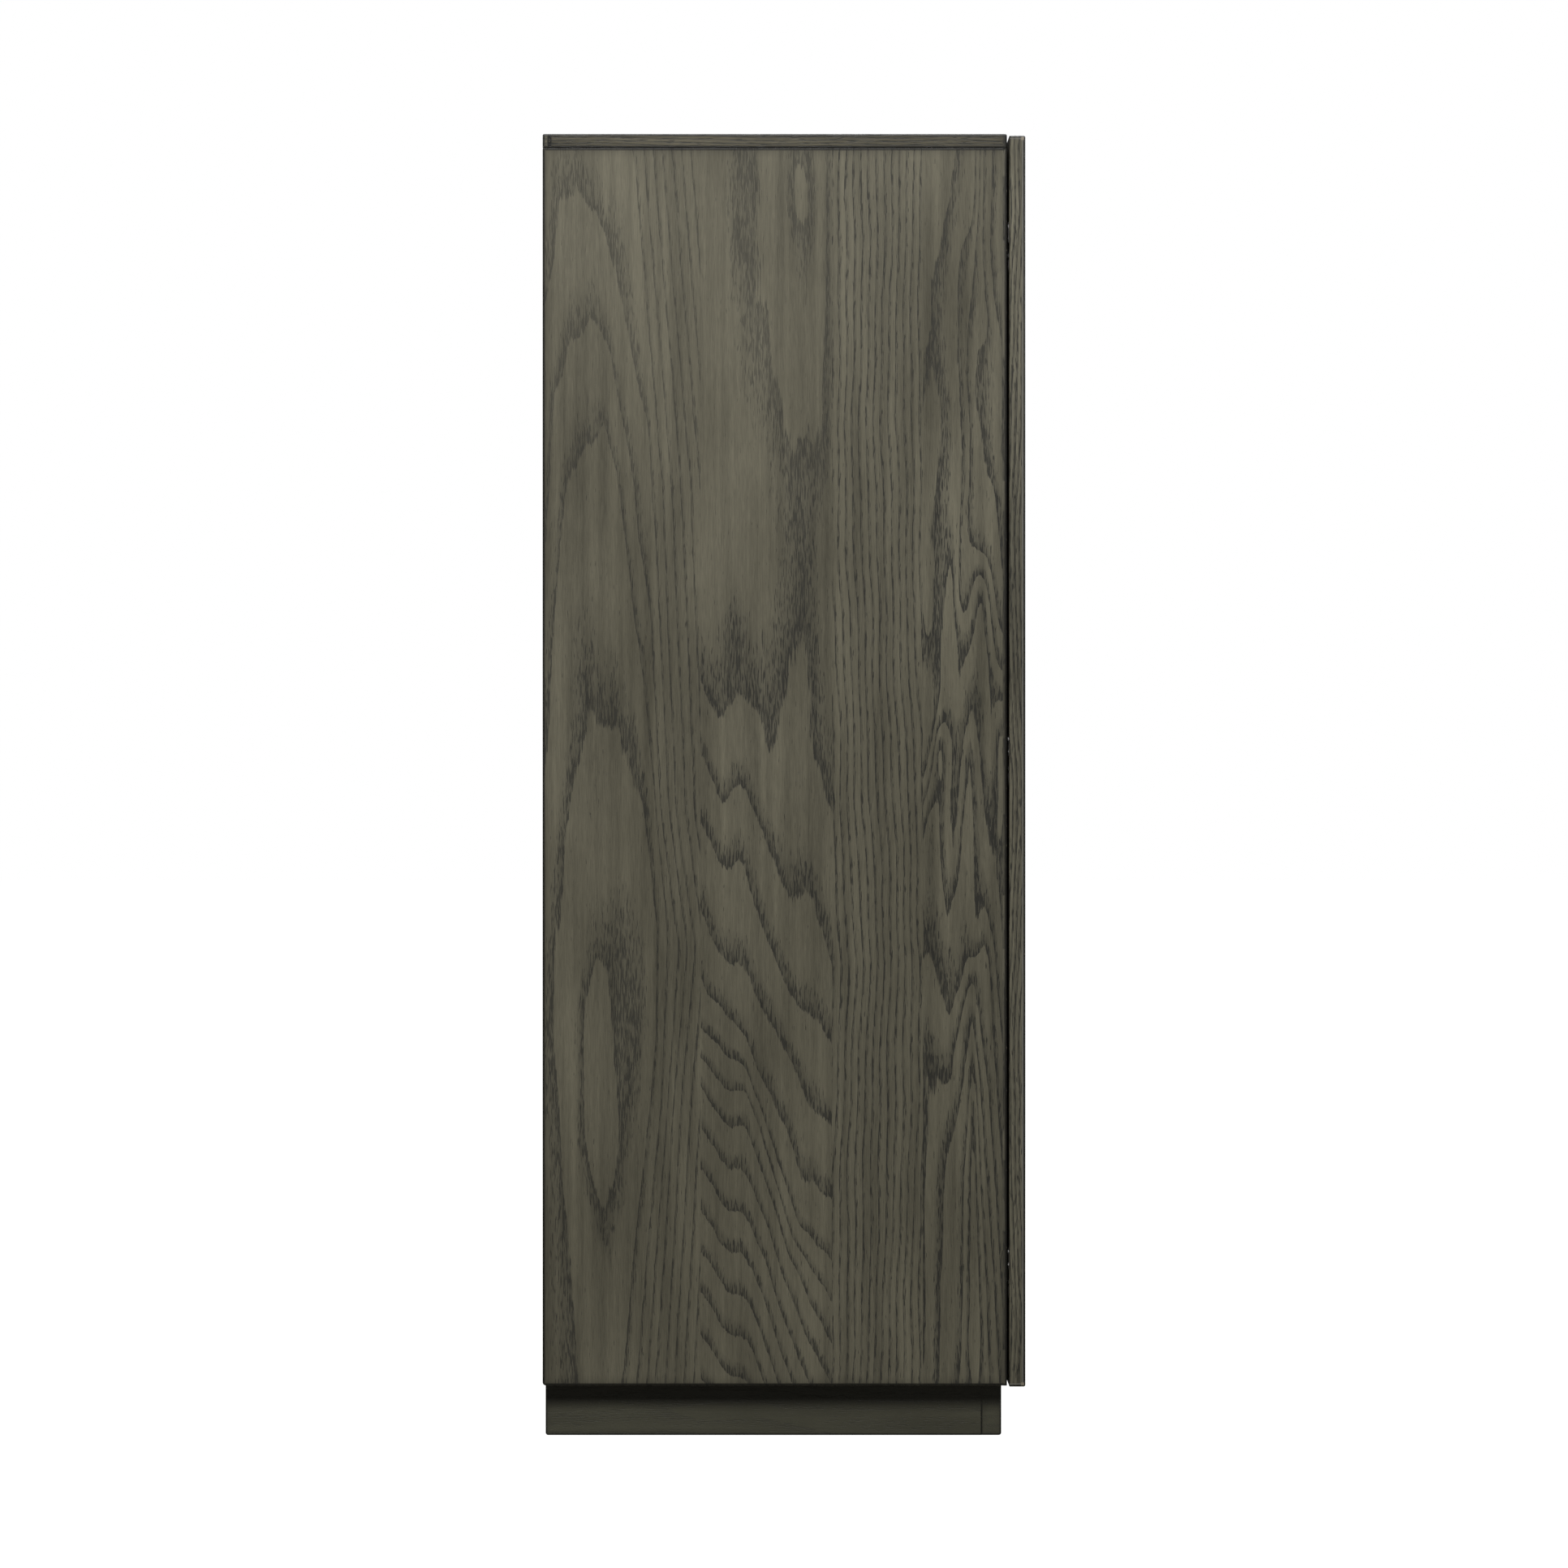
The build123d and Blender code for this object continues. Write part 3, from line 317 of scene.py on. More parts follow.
def makeScuff():
    # clouds of two tones and a fine grit, for metal and plastic
    tree, take, give = newGroup("scuff", [("Position", vectorSocket, (0.0, 0.0, 0.0)),
                                          ("Grain", floatSocket, 900.0)],
                                [("Cloud", floatSocket), ("Grit", floatSocket)])
    feed(tree, give["Cloud"], noise(tree, take["Position"], scale=70.0, detail=4.0, rough=0.6))
    fine = addNode(tree, "ShaderNodeTexNoise")
    feed(tree, fine.inputs["Vector"], take["Position"])
    feed(tree, fine.inputs["Scale"], take["Grain"])
    fine.inputs["Detail"].default_value = 2.0
    feed(tree, give["Grit"], fine.outputs["Fac"])
    return tree


ringBand, poreDash, fibre = makeRingBand(), makePoreDash(), makeFibre()
boardFigure, arris, scuff = makeBoardFigure(), makeArris(), makeScuff()
print("effect groups made")


# wood colours and settings, with stain colours and also a painted groove shade, a painted overhang shade and
# a painted highlight
woodLook = {
    "late": (0.176, 0.163, 0.117, 1.0),      # smooth late wood
    "early": (0.088, 0.083, 0.063, 1.0),     # porous early wood
    "pore": (0.034, 0.0325, 0.026, 1.0),
    # this glaze colour is also the colour of the painted shade under an overhang
    "glazeAndShade": (0.022, 0.021, 0.017, 1.0),     # dark glaze held along edges
    "bare": (0.42, 0.37, 0.28, 1.0),         # rubbed through to bare wood
    # painted shade: a near-black colour for the line along each arris and groove, standing in for the shade
    # there
    "grooveShadeColour": (0.006, 0.006, 0.004, 1.0),       # the bottom of a groove
    "paintedHighlight": (0.33, 0.32, 0.29, 1.0),         # painted highlight in a strip beside an arris
    "paintedHighlightAmount": 0.0, "cornerRub": 0.0, "shade": 0.0, "shadeFrom": 0.0, "shadeTo": 0.0,
    "roughness": 0.46, "specular": 0.5, "coat": 0.12, "coatRoughness": 0.32,
    "bump": 0.35, "bumpHeight": 0.00035,
    "teeth": 0.2, "fade": 0.40, "bandAmount": 0.62,
    "open": 0.71, "pull": 0.31, "poreAmount": 0.85,
    "streak": 0.26, "fine": 0.26, "cloud": 0.19,
    "glazeWidth": 0.012, "glazeAmount": 0.55, "groove": 0.0033, "lineAmount": 0.97, "rub": 0.22,
}
axisNumber = {"x": 0, "y": 1, "z": 2}


def startMaterial(name):
    made = bpy.data.materials.new(name)
    made.use_nodes = True
    tree = made.node_tree
    shader = tree.nodes["Principled BSDF"]
    where = addNode(tree, "ShaderNodeTexCoord").outputs["Object"]
    return made, tree, shader, where


# shares of the stain's effects that are the same on every wood
finish = {
    "poreMost": 0.95, "tint": (0.93, 1.07), "seam": 0.5, "bareMost": 0.8,
    "poreRough": 0.18, "fineHeight": 0.25, "poreDepth": 0.8,
}


# along and across name the axes of the grain; low and high are the board's corners
def woodMaterial(name, along, across, low, high, look=None, attribute=False, **figure):
    look = {**woodLook, **(look or {})}
    made, tree, shader, where = startMaterial(name)
    split = addNode(tree, "ShaderNodeSeparateXYZ")
    feed(tree, split.inputs[0], where)
    depth = ({"x", "y", "z"} - {along, across}).pop()
    a, c, d = [split.outputs[axisNumber[axis]] for axis in (along, across, depth)]
    if attribute:
        ring = addNode(tree, "ShaderNodeAttribute", attribute_name="ring").outputs["Fac"]
        tint = addNode(tree, "ShaderNodeAttribute", attribute_name="tint").outputs["Fac"]
        bold = addNode(tree, "ShaderNodeAttribute", attribute_name="bold").outputs["Fac"]
        fade = addNode(tree, "ShaderNodeAttribute", attribute_name="fade").outputs["Fac"]
        seam = 0.0
    else:
        drawn = useGroup(tree, boardFigure, Across=c, Along=a, **{
            "Leaf": figure.get("leaf", 0.15), "Spacing": figure.get("spacing", 0.010),
            "Arch": figure.get("arch", 0.30), "Seed": figure.get("seed", 0.0)})
        ring, tint, seam = drawn["Ring"], drawn["Tint"], drawn["Seam"]
        bold, fade = 1.0, look["fade"]
    bands = useGroup(tree, ringBand, Ring=ring, Across=c, Along=a, Teeth=look["teeth"],
                     Fade=fade)
    dashes = useGroup(tree, poreDash, Across=c, Along=a, Depth=d, Band=bands["Band"],
                      Open=look["open"], Pull=look["pull"])
    streaks = useGroup(tree, fibre, Across=c, Along=a, Depth=d)
    edges = useGroup(tree, arris, Position=where, Low=tuple(low), High=tuple(high),
                     Width=look["glazeWidth"], Groove=look["groove"], Rub=look["rub"])
    bandMix = calc(tree, "MULTIPLY", bands["Band"], look["bandAmount"])
    bandMix = calc(tree, "MULTIPLY", bandMix, bold, clamp=True)
    poreMix = calc(tree, "MULTIPLY", calc(tree, "MULTIPLY", dashes["Pores"], look["poreAmount"]), bold)
    colour = mixColour(tree, bandMix, look["late"], look["early"])
    colour = mixColour(tree, calc(tree, "MINIMUM", poreMix, finish["poreMost"]), colour, look["pore"])
    tone = calc(tree, "ADD",
                spread(tree, streaks["Streak"], 0.25, 0.75, 1.0 - look["streak"], 1.0 + look["streak"]),
                spread(tree, streaks["Fine"], 0.2, 0.8, -look["fine"], look["fine"]))
    tone = calc(tree, "MULTIPLY", tone,
                spread(tree, streaks["Cloud"], 0.3, 0.7, 1.0 - look["cloud"], 1.0 + look["cloud"]))
    tone = calc(tree, "MULTIPLY", tone, spread(tree, tint, 0.0, 1.0, *finish["tint"]))
    grey = addNode(tree, "ShaderNodeCombineColor")
    for socket in grey.inputs[:3]:
        feed(tree, socket, tone)
    colour = mixColour(tree, 1.0, colour, grey.outputs[0], "MULTIPLY")
    held = calc(tree, "MAXIMUM", calc(tree, "MULTIPLY", edges["Glaze"], look["glazeAmount"]),
                calc(tree, "MULTIPLY", seam, finish["seam"]))
    # painted highlight: a paler strip just inside the arris
    colour = mixColour(tree, calc(tree, "MULTIPLY", edges["Band"], look["paintedHighlightAmount"]), colour, look["paintedHighlight"])
    colour = mixColour(tree, held, colour, look["glazeAndShade"])
    # painted shade: the near-black line along each arris and groove
    colour = mixColour(tree, calc(tree, "MULTIPLY", edges["Line"], look["lineAmount"]), colour, look["grooveShadeColour"])
    worn = calc(tree, "MAXIMUM", edges["Worn"], calc(tree, "MULTIPLY", edges["Corner"], look["cornerRub"]))
    colour = mixColour(tree, calc(tree, "MULTIPLY", worn, finish["bareMost"]), colour, look["bare"])
    if look["shade"] > 0.0:
        # painted shade: the shadow of an overhang painted dark, from one height to another
        shaded = spread(tree, split.outputs[2], look["shadeFrom"], look["shadeTo"], 0.0, look["shade"], True)
        colour = mixColour(tree, shaded, colour, look["glazeAndShade"])
    feed(tree, shader.inputs["Base Color"], colour)
    rough = calc(tree, "ADD", look["roughness"], calc(tree, "MULTIPLY", dashes["Pores"], finish["poreRough"]))
    rough = calc(tree, "ADD", rough, spread(tree, streaks["Cloud"], 0.3, 0.7, -0.05, 0.05))
    feed(tree, shader.inputs["Roughness"], rough)
    height = calc(tree, "SUBTRACT", calc(tree, "MULTIPLY", streaks["Fine"], finish["fineHeight"]),
                  calc(tree, "MULTIPLY", dashes["Pores"], finish["poreDepth"]))
    bump = addNode(tree, "ShaderNodeBump")
    bump.inputs["Strength"].default_value = look["bump"]
    bump.inputs["Distance"].default_value = look["bumpHeight"]
    feed(tree, bump.inputs["Height"], height)
    feed(tree, shader.inputs["Normal"], bump.outputs[0])
    shader.inputs["Specular IOR Level"].default_value = look["specular"]
    shader.inputs["Coat Weight"].default_value = look["coat"]
    shader.inputs["Coat Roughness"].default_value = look["coatRoughness"]
    return made


def plainMaterial(name, first, second, roughness, metallic=0.0, grain=900.0, bumpHeight=0.00005, coat=0.0):
    made, tree, shader, where = startMaterial(name)
    marks = useGroup(tree, scuff, Position=where, Grain=grain)
    clouded = spread(tree, marks["Cloud"], 0.35, 0.7, 0.0, 1.0)
    feed(tree, shader.inputs["Base Color"], mixColour(tree, clouded, (*first, 1.0), (*second, 1.0)))
    feed(tree, shader.inputs["Roughness"], calc(tree, "ADD", spread(
        tree, marks["Cloud"], 0.3, 0.7, roughness - 0.06, roughness + 0.08),
        calc(tree, "MULTIPLY", marks["Grit"], 0.06)))
    bump = addNode(tree, "ShaderNodeBump")
    bump.inputs["Strength"].default_value = 0.4
    bump.inputs["Distance"].default_value = bumpHeight
    feed(tree, bump.inputs["Height"], marks["Grit"])
    feed(tree, shader.inputs["Normal"], bump.outputs[0])
    shader.inputs["Metallic"].default_value = metallic
    shader.inputs["Coat Weight"].default_value = coat
    return made


def dress(nodeName, material):
    target = nodes[nodeName]
    for holder in [target, *target.children_recursive]:
        if holder.type != "MESH":
            continue
        if not holder.material_slots:
            holder.data.materials.append(material)
        for place in holder.material_slots:
            place.material = material


edgeLook = {"late": (0.172, 0.159, 0.118, 1.0), "early": (0.078, 0.073, 0.056, 1.0),
            "bandAmount": 0.85, "fade": 0.6, "teeth": 0.3, "glazeWidth": 0.007, "glazeAmount": 0.62,
            "open": 0.66, "pull": 0.20, "poreAmount": 0.8, "streak": 0.42, "fine": 0.30, "cloud": 0.34}
topLook = {"roughness": 0.60, "specular": 0.15, "coat": 0.0}      # duller, against glare at low angles
topEdgeLook = {**edgeLook, "late": (0.100, 0.090, 0.060, 1.0), "early": (0.040, 0.037, 0.028, 1.0),
               "open": 0.62, "poreAmount": 0.95, "cloud": 0.50, "fine": 0.42}
# painted shade: the top's front end is darker, for the shade in the gap beside the door
topEndLook = {**topEdgeLook, "late": (0.060, 0.055, 0.040, 1.0), "early": (0.030, 0.028, 0.021, 1.0)}
# the door lippings carry a painted highlight strip beside the front arris
doorEdgeLook = {**edgeLook, "late": (0.197, 0.183, 0.133, 1.0), "cloud": 0.20, "fine": 0.42, "open": 0.64,
                "poreAmount": 0.9, "paintedHighlightAmount": 0.85, "cornerRub": 1.0, "groove": 0.0030}
# painted shade: the plinth boards are painted dark near their top, for the shadow of the side's overhang
plinthLook = {**edgeLook, "late": (0.115, 0.112, 0.079, 1.0), "early": (0.085, 0.083, 0.060, 1.0),
              "bandAmount": 0.35, "poreAmount": 0.25, "streak": 0.10, "fine": 0.10, "cloud": 0.18,
              "glazeWidth": 0.010, "glazeAmount": 0.4, "groove": 0.0026,
              "shade": 0.93, "shadeFrom": 0.026, "shadeTo": 0.044}
innerLook = {"late": (0.185, 0.170, 0.128, 1.0), "early": (0.115, 0.105, 0.080, 1.0), "roughness": 0.5,
             "glazeAmount": 0.15, "lineAmount": 0.2, "rub": 0.0}
pineLook = {"late": (0.46, 0.33, 0.19, 1.0), "early": (0.36, 0.22, 0.11, 1.0),
            "pore": (0.22, 0.13, 0.07, 1.0), "glazeAndShade": (0.25, 0.17, 0.10, 1.0),
            "roughness": 0.6, "coat": 0.0, "glazeAmount": 0.1, "lineAmount": 0.1, "rub": 0.0,
            "open": 0.70, "pull": 0.05, "poreAmount": 0.3, "streak": 0.12, "fine": 0.08, "cloud": 0.08}
beechLook = {**pineLook, "late": (0.52, 0.36, 0.23, 1.0), "early": (0.44, 0.29, 0.18, 1.0)}

# node: (grain axis, across axis, look, figure)
boards = {
    "left_side_panel": ("z", "y", innerLook, {"leaf": 0.16, "seed": 3.0}),
    "right_side_panel": ("z", "y", innerLook, {"leaf": 0.16, "seed": 5.0}),
    "left_side_lipping": ("z", "x", edgeLook, {"leaf": 0.9, "spacing": 0.006, "arch": 2.0, "seed": 1.2}),
    "right_side_lipping": ("z", "x", edgeLook, {"leaf": 0.9, "spacing": 0.006, "arch": 2.0, "seed": 2.3}),
    "bottom_panel": ("x", "y", innerLook, {"leaf": 0.18, "seed": 7.0}),
    "bottom_panel_lipping": ("x", "z", edgeLook, {"leaf": 0.5, "spacing": 0.006, "arch": 2.0, "seed": 1.0}),
    "fixed_shelf": ("x", "y", innerLook, {"leaf": 0.18, "seed": 9.0}),
    "fixed_shelf_lipping": ("x", "z", edgeLook, {"leaf": 0.5, "spacing": 0.006, "arch": 2.0, "seed": 4.0}),
    "lower_shelf": ("x", "y", innerLook, {"leaf": 0.17, "seed": 11.0}),
    "middle_shelf": ("x", "y", innerLook, {"leaf": 0.19, "seed": 12.0}),
    "upper_shelf": ("x", "y", innerLook, {"leaf": 0.16, "seed": 13.0}),
    "lower_shelf_lipping": ("x", "z", edgeLook, {"leaf": 0.5, "spacing": 0.006, "arch": 2.0, "seed": 6.0}),
    "middle_shelf_lipping": ("x", "z", edgeLook, {"leaf": 0.5, "spacing": 0.006, "arch": 2.0, "seed": 8.0}),
    "upper_shelf_lipping": ("x", "z", edgeLook, {"leaf": 0.5, "spacing": 0.006, "arch": 2.0, "seed": 9.0}),
    "wall_rail": ("x", "z", innerLook, {"leaf": 0.3, "seed": 15.0}),
    "top_panel": ("x", "y", topLook, {"leaf": 0.17, "seed": 21.0}),
    "top_front_lipping": ("x", "z", topEndLook, {"leaf": 0.5, "spacing": 0.006, "arch": 2.0, "seed": 2.0}),
    "top_rear_lipping": ("x", "z", edgeLook, {"leaf": 0.5, "spacing": 0.006, "arch": 2.0, "seed": 3.0}),
    "top_side_lippings": ("y", "z", topEdgeLook, {"leaf": 0.5, "spacing": 0.004, "arch": 1.0, "seed": 5.0}),
    "lower_back_panel": ("z", "x", innerLook, {"leaf": 0.20, "seed": 31.0}),
    "upper_back_panel": ("z", "x", innerLook, {"leaf": 0.20, "seed": 31.0}),
    "left_door_panel": ("z", "x", {}, {"leaf": 0.152, "seed": 41.0}),
    "right_door_panel": ("z", "x", {}, {"leaf": 0.152, "seed": 47.0}),
    "left_door_lippings": ("z", "y", doorEdgeLook,
                           {"leaf": 0.5, "spacing": 0.005, "arch": 1.2, "seed": 6.0}),
    "right_door_lippings": ("z", "y", doorEdgeLook,
                            {"leaf": 0.5, "spacing": 0.005, "arch": 1.2, "seed": 7.0}),
    "plinth_front_board": ("x", "z", plinthLook, {"leaf": 0.3, "spacing": 0.010, "arch": 1.5, "seed": 8.0}),
    "left_plinth_board": ("y", "z", plinthLook, {"leaf": 0.3, "spacing": 0.010, "arch": 0.8, "seed": 9.0}),
    "right_plinth_board": ("y", "z", plinthLook,
                           {"leaf": 0.3, "spacing": 0.010, "arch": 0.8, "seed": 10.0}),
    "plinth_rear_board": ("x", "z", pineLook, {"leaf": 0.3, "seed": 11.0}),
    "plinth_centre_brace": ("y", "z", pineLook, {"leaf": 0.3, "seed": 12.0}),
    "plinth_corner_blocks": ("z", "y", pineLook, {"leaf": 0.06, "seed": 13.0}),
    "carcass_dowels": ("x", "y", beechLook, {"leaf": 0.05, "seed": 14.0}),
}
# node: (corner, axis, metres) where an edge is joined to another piece, so no glaze, painted dark shade line
# or painted highlight strip is put there
joined = {
    "left_side_lipping": (1, 1, 0.1), "right_side_lipping": (1, 1, 0.1),
    "top_side_lippings": (0, 1, -0.005), "top_front_lipping": (1, 1, 0.1),
    "left_door_lippings": (1, 1, 0.1), "right_door_lippings": (1, 1, 0.1),
    "left_plinth_board": (0, 1, -0.1), "right_plinth_board": (0, 1, -0.1),
}
for nodeName, (along, across, look, figure) in boards.items():
    low, high = [list(corner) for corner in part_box(nodeName)]
    if nodeName in joined:
        corner, axis, outwards = joined[nodeName]
        (low, high)[corner][axis] += outwards
    dress(nodeName, woodMaterial(nodeName + "_wood", along, across, low, high, look, **figure))

blackNickel = plainMaterial("blackNickel", (0.075, 0.073, 0.070), (0.115, 0.112, 0.108), 0.42, metallic=1.0)
zinc = plainMaterial("zincPlate", (0.55, 0.56, 0.56), (0.66, 0.66, 0.64), 0.38, metallic=1.0)
magnetPlate = plainMaterial("magnetPlate", (0.50, 0.50, 0.51), (0.60, 0.60, 0.60), 0.25, metallic=1.0)
latchPlastic = plainMaterial("latchPlastic", (0.022, 0.022, 0.023), (0.034, 0.034, 0.034), 0.55,
                             grain=2600.0, bumpHeight=0.00012)
plungerPlastic = plainMaterial("plungerPlastic", (0.045, 0.045, 0.046), (0.06, 0.06, 0.06), 0.42)
softButton = plainMaterial("softButton", (0.60, 0.60, 0.57), (0.68, 0.68, 0.65), 0.35, coat=0.3)
fittings = {
    "shelf_pins": zinc, "back_panel_screws": zinc, "plinth_screws": zinc, "latch_screws": zinc,
    "latch_cases": latchPlastic,
}
for hand in ("left", "right"):
    fittings.update({
        hand + "_hinge_cups": blackNickel, hand + "_hinge_arms": blackNickel,
        hand + "_hinge_plates": blackNickel, hand + "_hinge_pins": blackNickel,
        hand + "_hinge_cup_screws": blackNickel, hand + "_hinge_plate_screws": blackNickel,
        hand + "_hinge_arm_screws": blackNickel, hand + "_strike_plates": zinc,
        hand + "_door_bumpers": softButton, hand + "_latch_plungers": plungerPlastic,
        hand + "_latch_magnets": magnetPlate,
    })
for nodeName, material in fittings.items():
    dress(nodeName, material)
print("materials dressed:", len(boards) + len(fittings), "nodes")


# Lines of the three flame-figured leaves, from the rear and upper edges of each leaf, in mm:
# (ring, [(across, down), ...]). A ring's dark side is the one where the number is higher.
ringLines = {
    "first": [
        (1, [(63, 955), (49, 1015), (49, 1155), (69, 1245), (84, 1195), (86, 1110), (77, 970), (63, 955)]),
        (0.55, [(61, 995), (65, 1155)]),
        (1.45, [(55, 855)]),
        (1.45, [(69, 1310)]),
        (2, [(42, 1405), (25, 1230), (11, 1015), (24, 825), (43, 720), (60, 685), (78, 685), (100, 715),
             (116, 765), (133, 910), (133, 1045), (111, 1250), (94, 1430)]),
        (2.5, [(75, 525)]),
        (3, [(6, 700), (16, 520), (25, 405), (45, 360), (73, 330), (86, 380), (105, 530), (124, 680),
             (145, 920), (138, 1110), (110, 1430)]),
        (3.5, [(68, 275)]),
        (4, [(2, 490), (14, 290), (30, 235), (60, 205), (78, 240), (102, 365), (125, 550), (137, 775),
             (158, 935), (146, 1110), (122, 1430)]),
        (4.5, [(59, 130)]),
        (5, [(3, 185), (20, 75), (45, 55), (71, 95), (94, 190), (124, 335), (141, 645), (147, 775),
             (168, 935), (153, 1110), (132, 1430)]),
    ],
    "second": [
        (-4, [(1, 1065), (20, 1090), (53, 1105), (69, 1145), (88, 1210), (107, 1275), (151, 1345)]),
        (-3, [(1, 1035), (28, 1060), (53, 1080), (70, 1125), (89, 1185), (117, 1265), (153, 1300)]),
        (-2, [(1, 975), (23, 1005), (47, 1035), (75, 1095), (99, 1145), (115, 1195), (153, 1230)]),
        (-1, [(3, 900), (22, 945), (51, 965), (75, 1010), (108, 1075), (132, 1130), (153, 1145)]),
        (0, [(3, 795), (20, 835), (48, 830), (60, 875), (86, 950), (113, 1005), (132, 1015), (153, 1050)]),
        (0.8, [(119, 55)]),
        (1, [(119, 25), (111, 55), (119, 85), (127, 55), (119, 25)]),
        (1, [(3, 710), (24, 765), (43, 750), (52, 750), (69, 795), (95, 860), (109, 885), (128, 875),
             (153, 955)]),
        (1.45, [(122, 200)]),
        (1.45, [(102, 110)]),
        (1.45, [(138, 110)]),
        (1.8, [(119, 280)]),
        (2, [(69, 5), (73, 155), (88, 255), (104, 320), (122, 345), (135, 325), (144, 265), (147, 95),
             (147, 15)]),
        (2, [(3, 635), (19, 665), (36, 650), (48, 640), (65, 665), (84, 700), (95, 660), (105, 605),
             (116, 585), (123, 600), (130, 710), (147, 760), (155, 785)]),
        (2.14, [(119, 400), (112, 520)]),
        (2.12, [(41, 560)]),
        (2.2, [(38, 15), (38, 110), (48, 205), (62, 280)]),
        (2.35, [(76, 360), (86, 440)]),
        (2.3, [(153, 110), (153, 355)]),
        (2.4, [(71, 565)]),
        (2.4, [(5, 565)]),
        (2.35, [(138, 500)]),
        (2.7, [(14, 65), (14, 205), (29, 350), (38, 435), (10, 445)]),
        (2.7, [(62, 470)]),
        (2.6, [(151, 470)]),
    ],
    "fourth": [
        (-6, [(54, 1400), (56, 1200), (59, 1120), (62, 1200), (68, 1400)]),
        (-5, [(46, 1395), (49, 1200), (58, 1070), (63, 1120), (69, 1250), (76, 1400)]),
        (-4, [(20, 1430), (21, 1300), (26, 1195), (31, 1170), (38, 1150), (48, 1090), (59, 1020),
              (66, 1090), (74, 1205), (84, 1350)]),
        (-3, [(33, 1090), (36, 1060), (46, 1010), (58, 975), (66, 1020), (76, 1100), (84, 1205),
              (90, 1320)]),
        (-3, [(2, 1085), (10, 1140), (18, 1085)]),
        (-3.3, [(10, 1235), (9, 1395)]),
        (-2.5, [(62, 960)]),
        (-2.6, [(20, 1060)]),
        (-2, [(12, 955), (24, 990), (32, 1010), (45, 980), (60, 950), (72, 930), (78, 960), (82, 1040),
              (90, 1150)]),
        (-1.5, [(8, 800), (10, 880), (30, 925), (60, 925)]),
        (-1.5, [(53, 790), (52, 860)]),
        (-1, [(18, 700), (18, 760), (21, 845), (28, 905), (42, 850), (47, 790), (53, 720), (58, 780),
              (60, 850), (63, 905), (74, 890), (82, 930), (92, 1040)]),
        (-0.45, [(56, 690)]),
        (0, [(33, 690), (32, 760), (35, 830), (41, 780), (47, 700), (58, 650), (65, 700), (72, 780),
             (85, 855), (89, 800), (88, 690)]),
        (0.55, [(66, 590), (72, 660)]),
        (0.7, [(8, 20), (10, 90)]),
        (0.8, [(3, 190)]),
        (0.75, [(9, 310), (9, 380)]),
        (1, [(2, 130), (7, 145), (12, 150), (17, 135), (21, 105), (26, 70), (32, 45), (38, 5)]),
        (1, [(8, 160), (9, 200), (4, 240)]),
        (1, [(3, 300), (8, 275), (14, 262), (18, 285), (19, 340), (17, 385), (12, 425), (5, 455)]),
        (1, [(2, 560), (5, 575), (9, 560), (15, 490)]),
        (1, [(2, 735), (12, 690), (20, 640), (23, 580), (25, 555), (28, 600), (29, 625)]),
        (1, [(35, 500), (38, 560), (44, 625), (54, 590), (62, 560), (68, 530), (77, 600), (82, 690)]),
        (1.15, [(15, 215)]),
        (1.2, [(26, 290), (27, 340), (24, 385), (18, 430)]),
        (1.4, [(21, 510)]),
        (1.6, [(52, 20), (50, 65)]),
        (1.7, [(31, 190), (33, 240), (37, 300), (38, 360), (36, 420)]),
        (2, [(61, 5), (60, 60), (57, 90), (50, 105), (43, 130), (41, 165), (41, 230), (43, 290),
             (46, 340), (46, 390), (43, 450), (41, 520), (48, 545), (56, 525), (66, 500), (76, 520),
             (86, 600)]),
        (3, [(66, 5), (65, 65), (61, 115), (57, 165), (53, 200), (51, 260), (55, 325), (54, 390),
             (51, 430), (56, 465), (68, 475), (80, 500), (90, 560)]),
        (3.7, [(68, 400), (70, 440)]),
        (4, [(71, 5), (70, 60), (69, 115), (71, 165), (76, 200), (71, 228), (63, 242), (61, 295),
             (67, 325), (70, 360), (77, 385), (82, 395), (86, 420), (90, 470)]),
        (4.3, [(76, 260), (78, 340)]),
        (4.8, [(88, 300), (88, 370)]),
        (5, [(81, 5), (81, 35), (78, 115), (82, 170), (89, 210), (92, 240)]),
    ],
}
# the first leaf's outer rings are one line moved forwards by a ring's width at a time, and the
# second leaf's lowest rings are one line moved down
flank = [(107, 15), (139, 395), (155, 775), (177, 935), (162, 1110), (143, 1430)]
ringLines["first"] += [(6 + n, [(across + 11 * n, down) for across, down in flank]) for n in range(7)]
slant = [(1, 1100), (30, 1145), (58, 1163), (76, 1210), (97, 1275), (125, 1345), (153, 1400)]
ringLines["second"] += [(-5 - n, [(across, down + 48 * n) for across, down in slant]) for n in range(7)]

veneer = {
    "widths": (186.5, 155.1, 107.5, 94.3),    # mm, from the rear edge forwards
    "stretch": 5.0,                           # the figure is this much slower along the grain
    "stiff": 0.02,
    "lineStep": 40.0,                         # mm between points worked out along a ring line
    "cell": (3.6, 6.0),                       # mm, across and along
    "topRound": 1.0,
    "bottomRound": 1.5,
    "cornerRound": 4.0,
    # mm below the sheet's top, and above its foot, of the extra rows that carry the roundings
    "topRows": (0.09, 0.25, 0.5, 0.75, 1.0),
    "footRows": (0.14, 0.35, 0.7, 1.1, 1.5, 2.5),
    "thickness": 0.0006,                      # metres
    "lipping": 0.005,                         # metres of lipping before the sheet's front edge
}


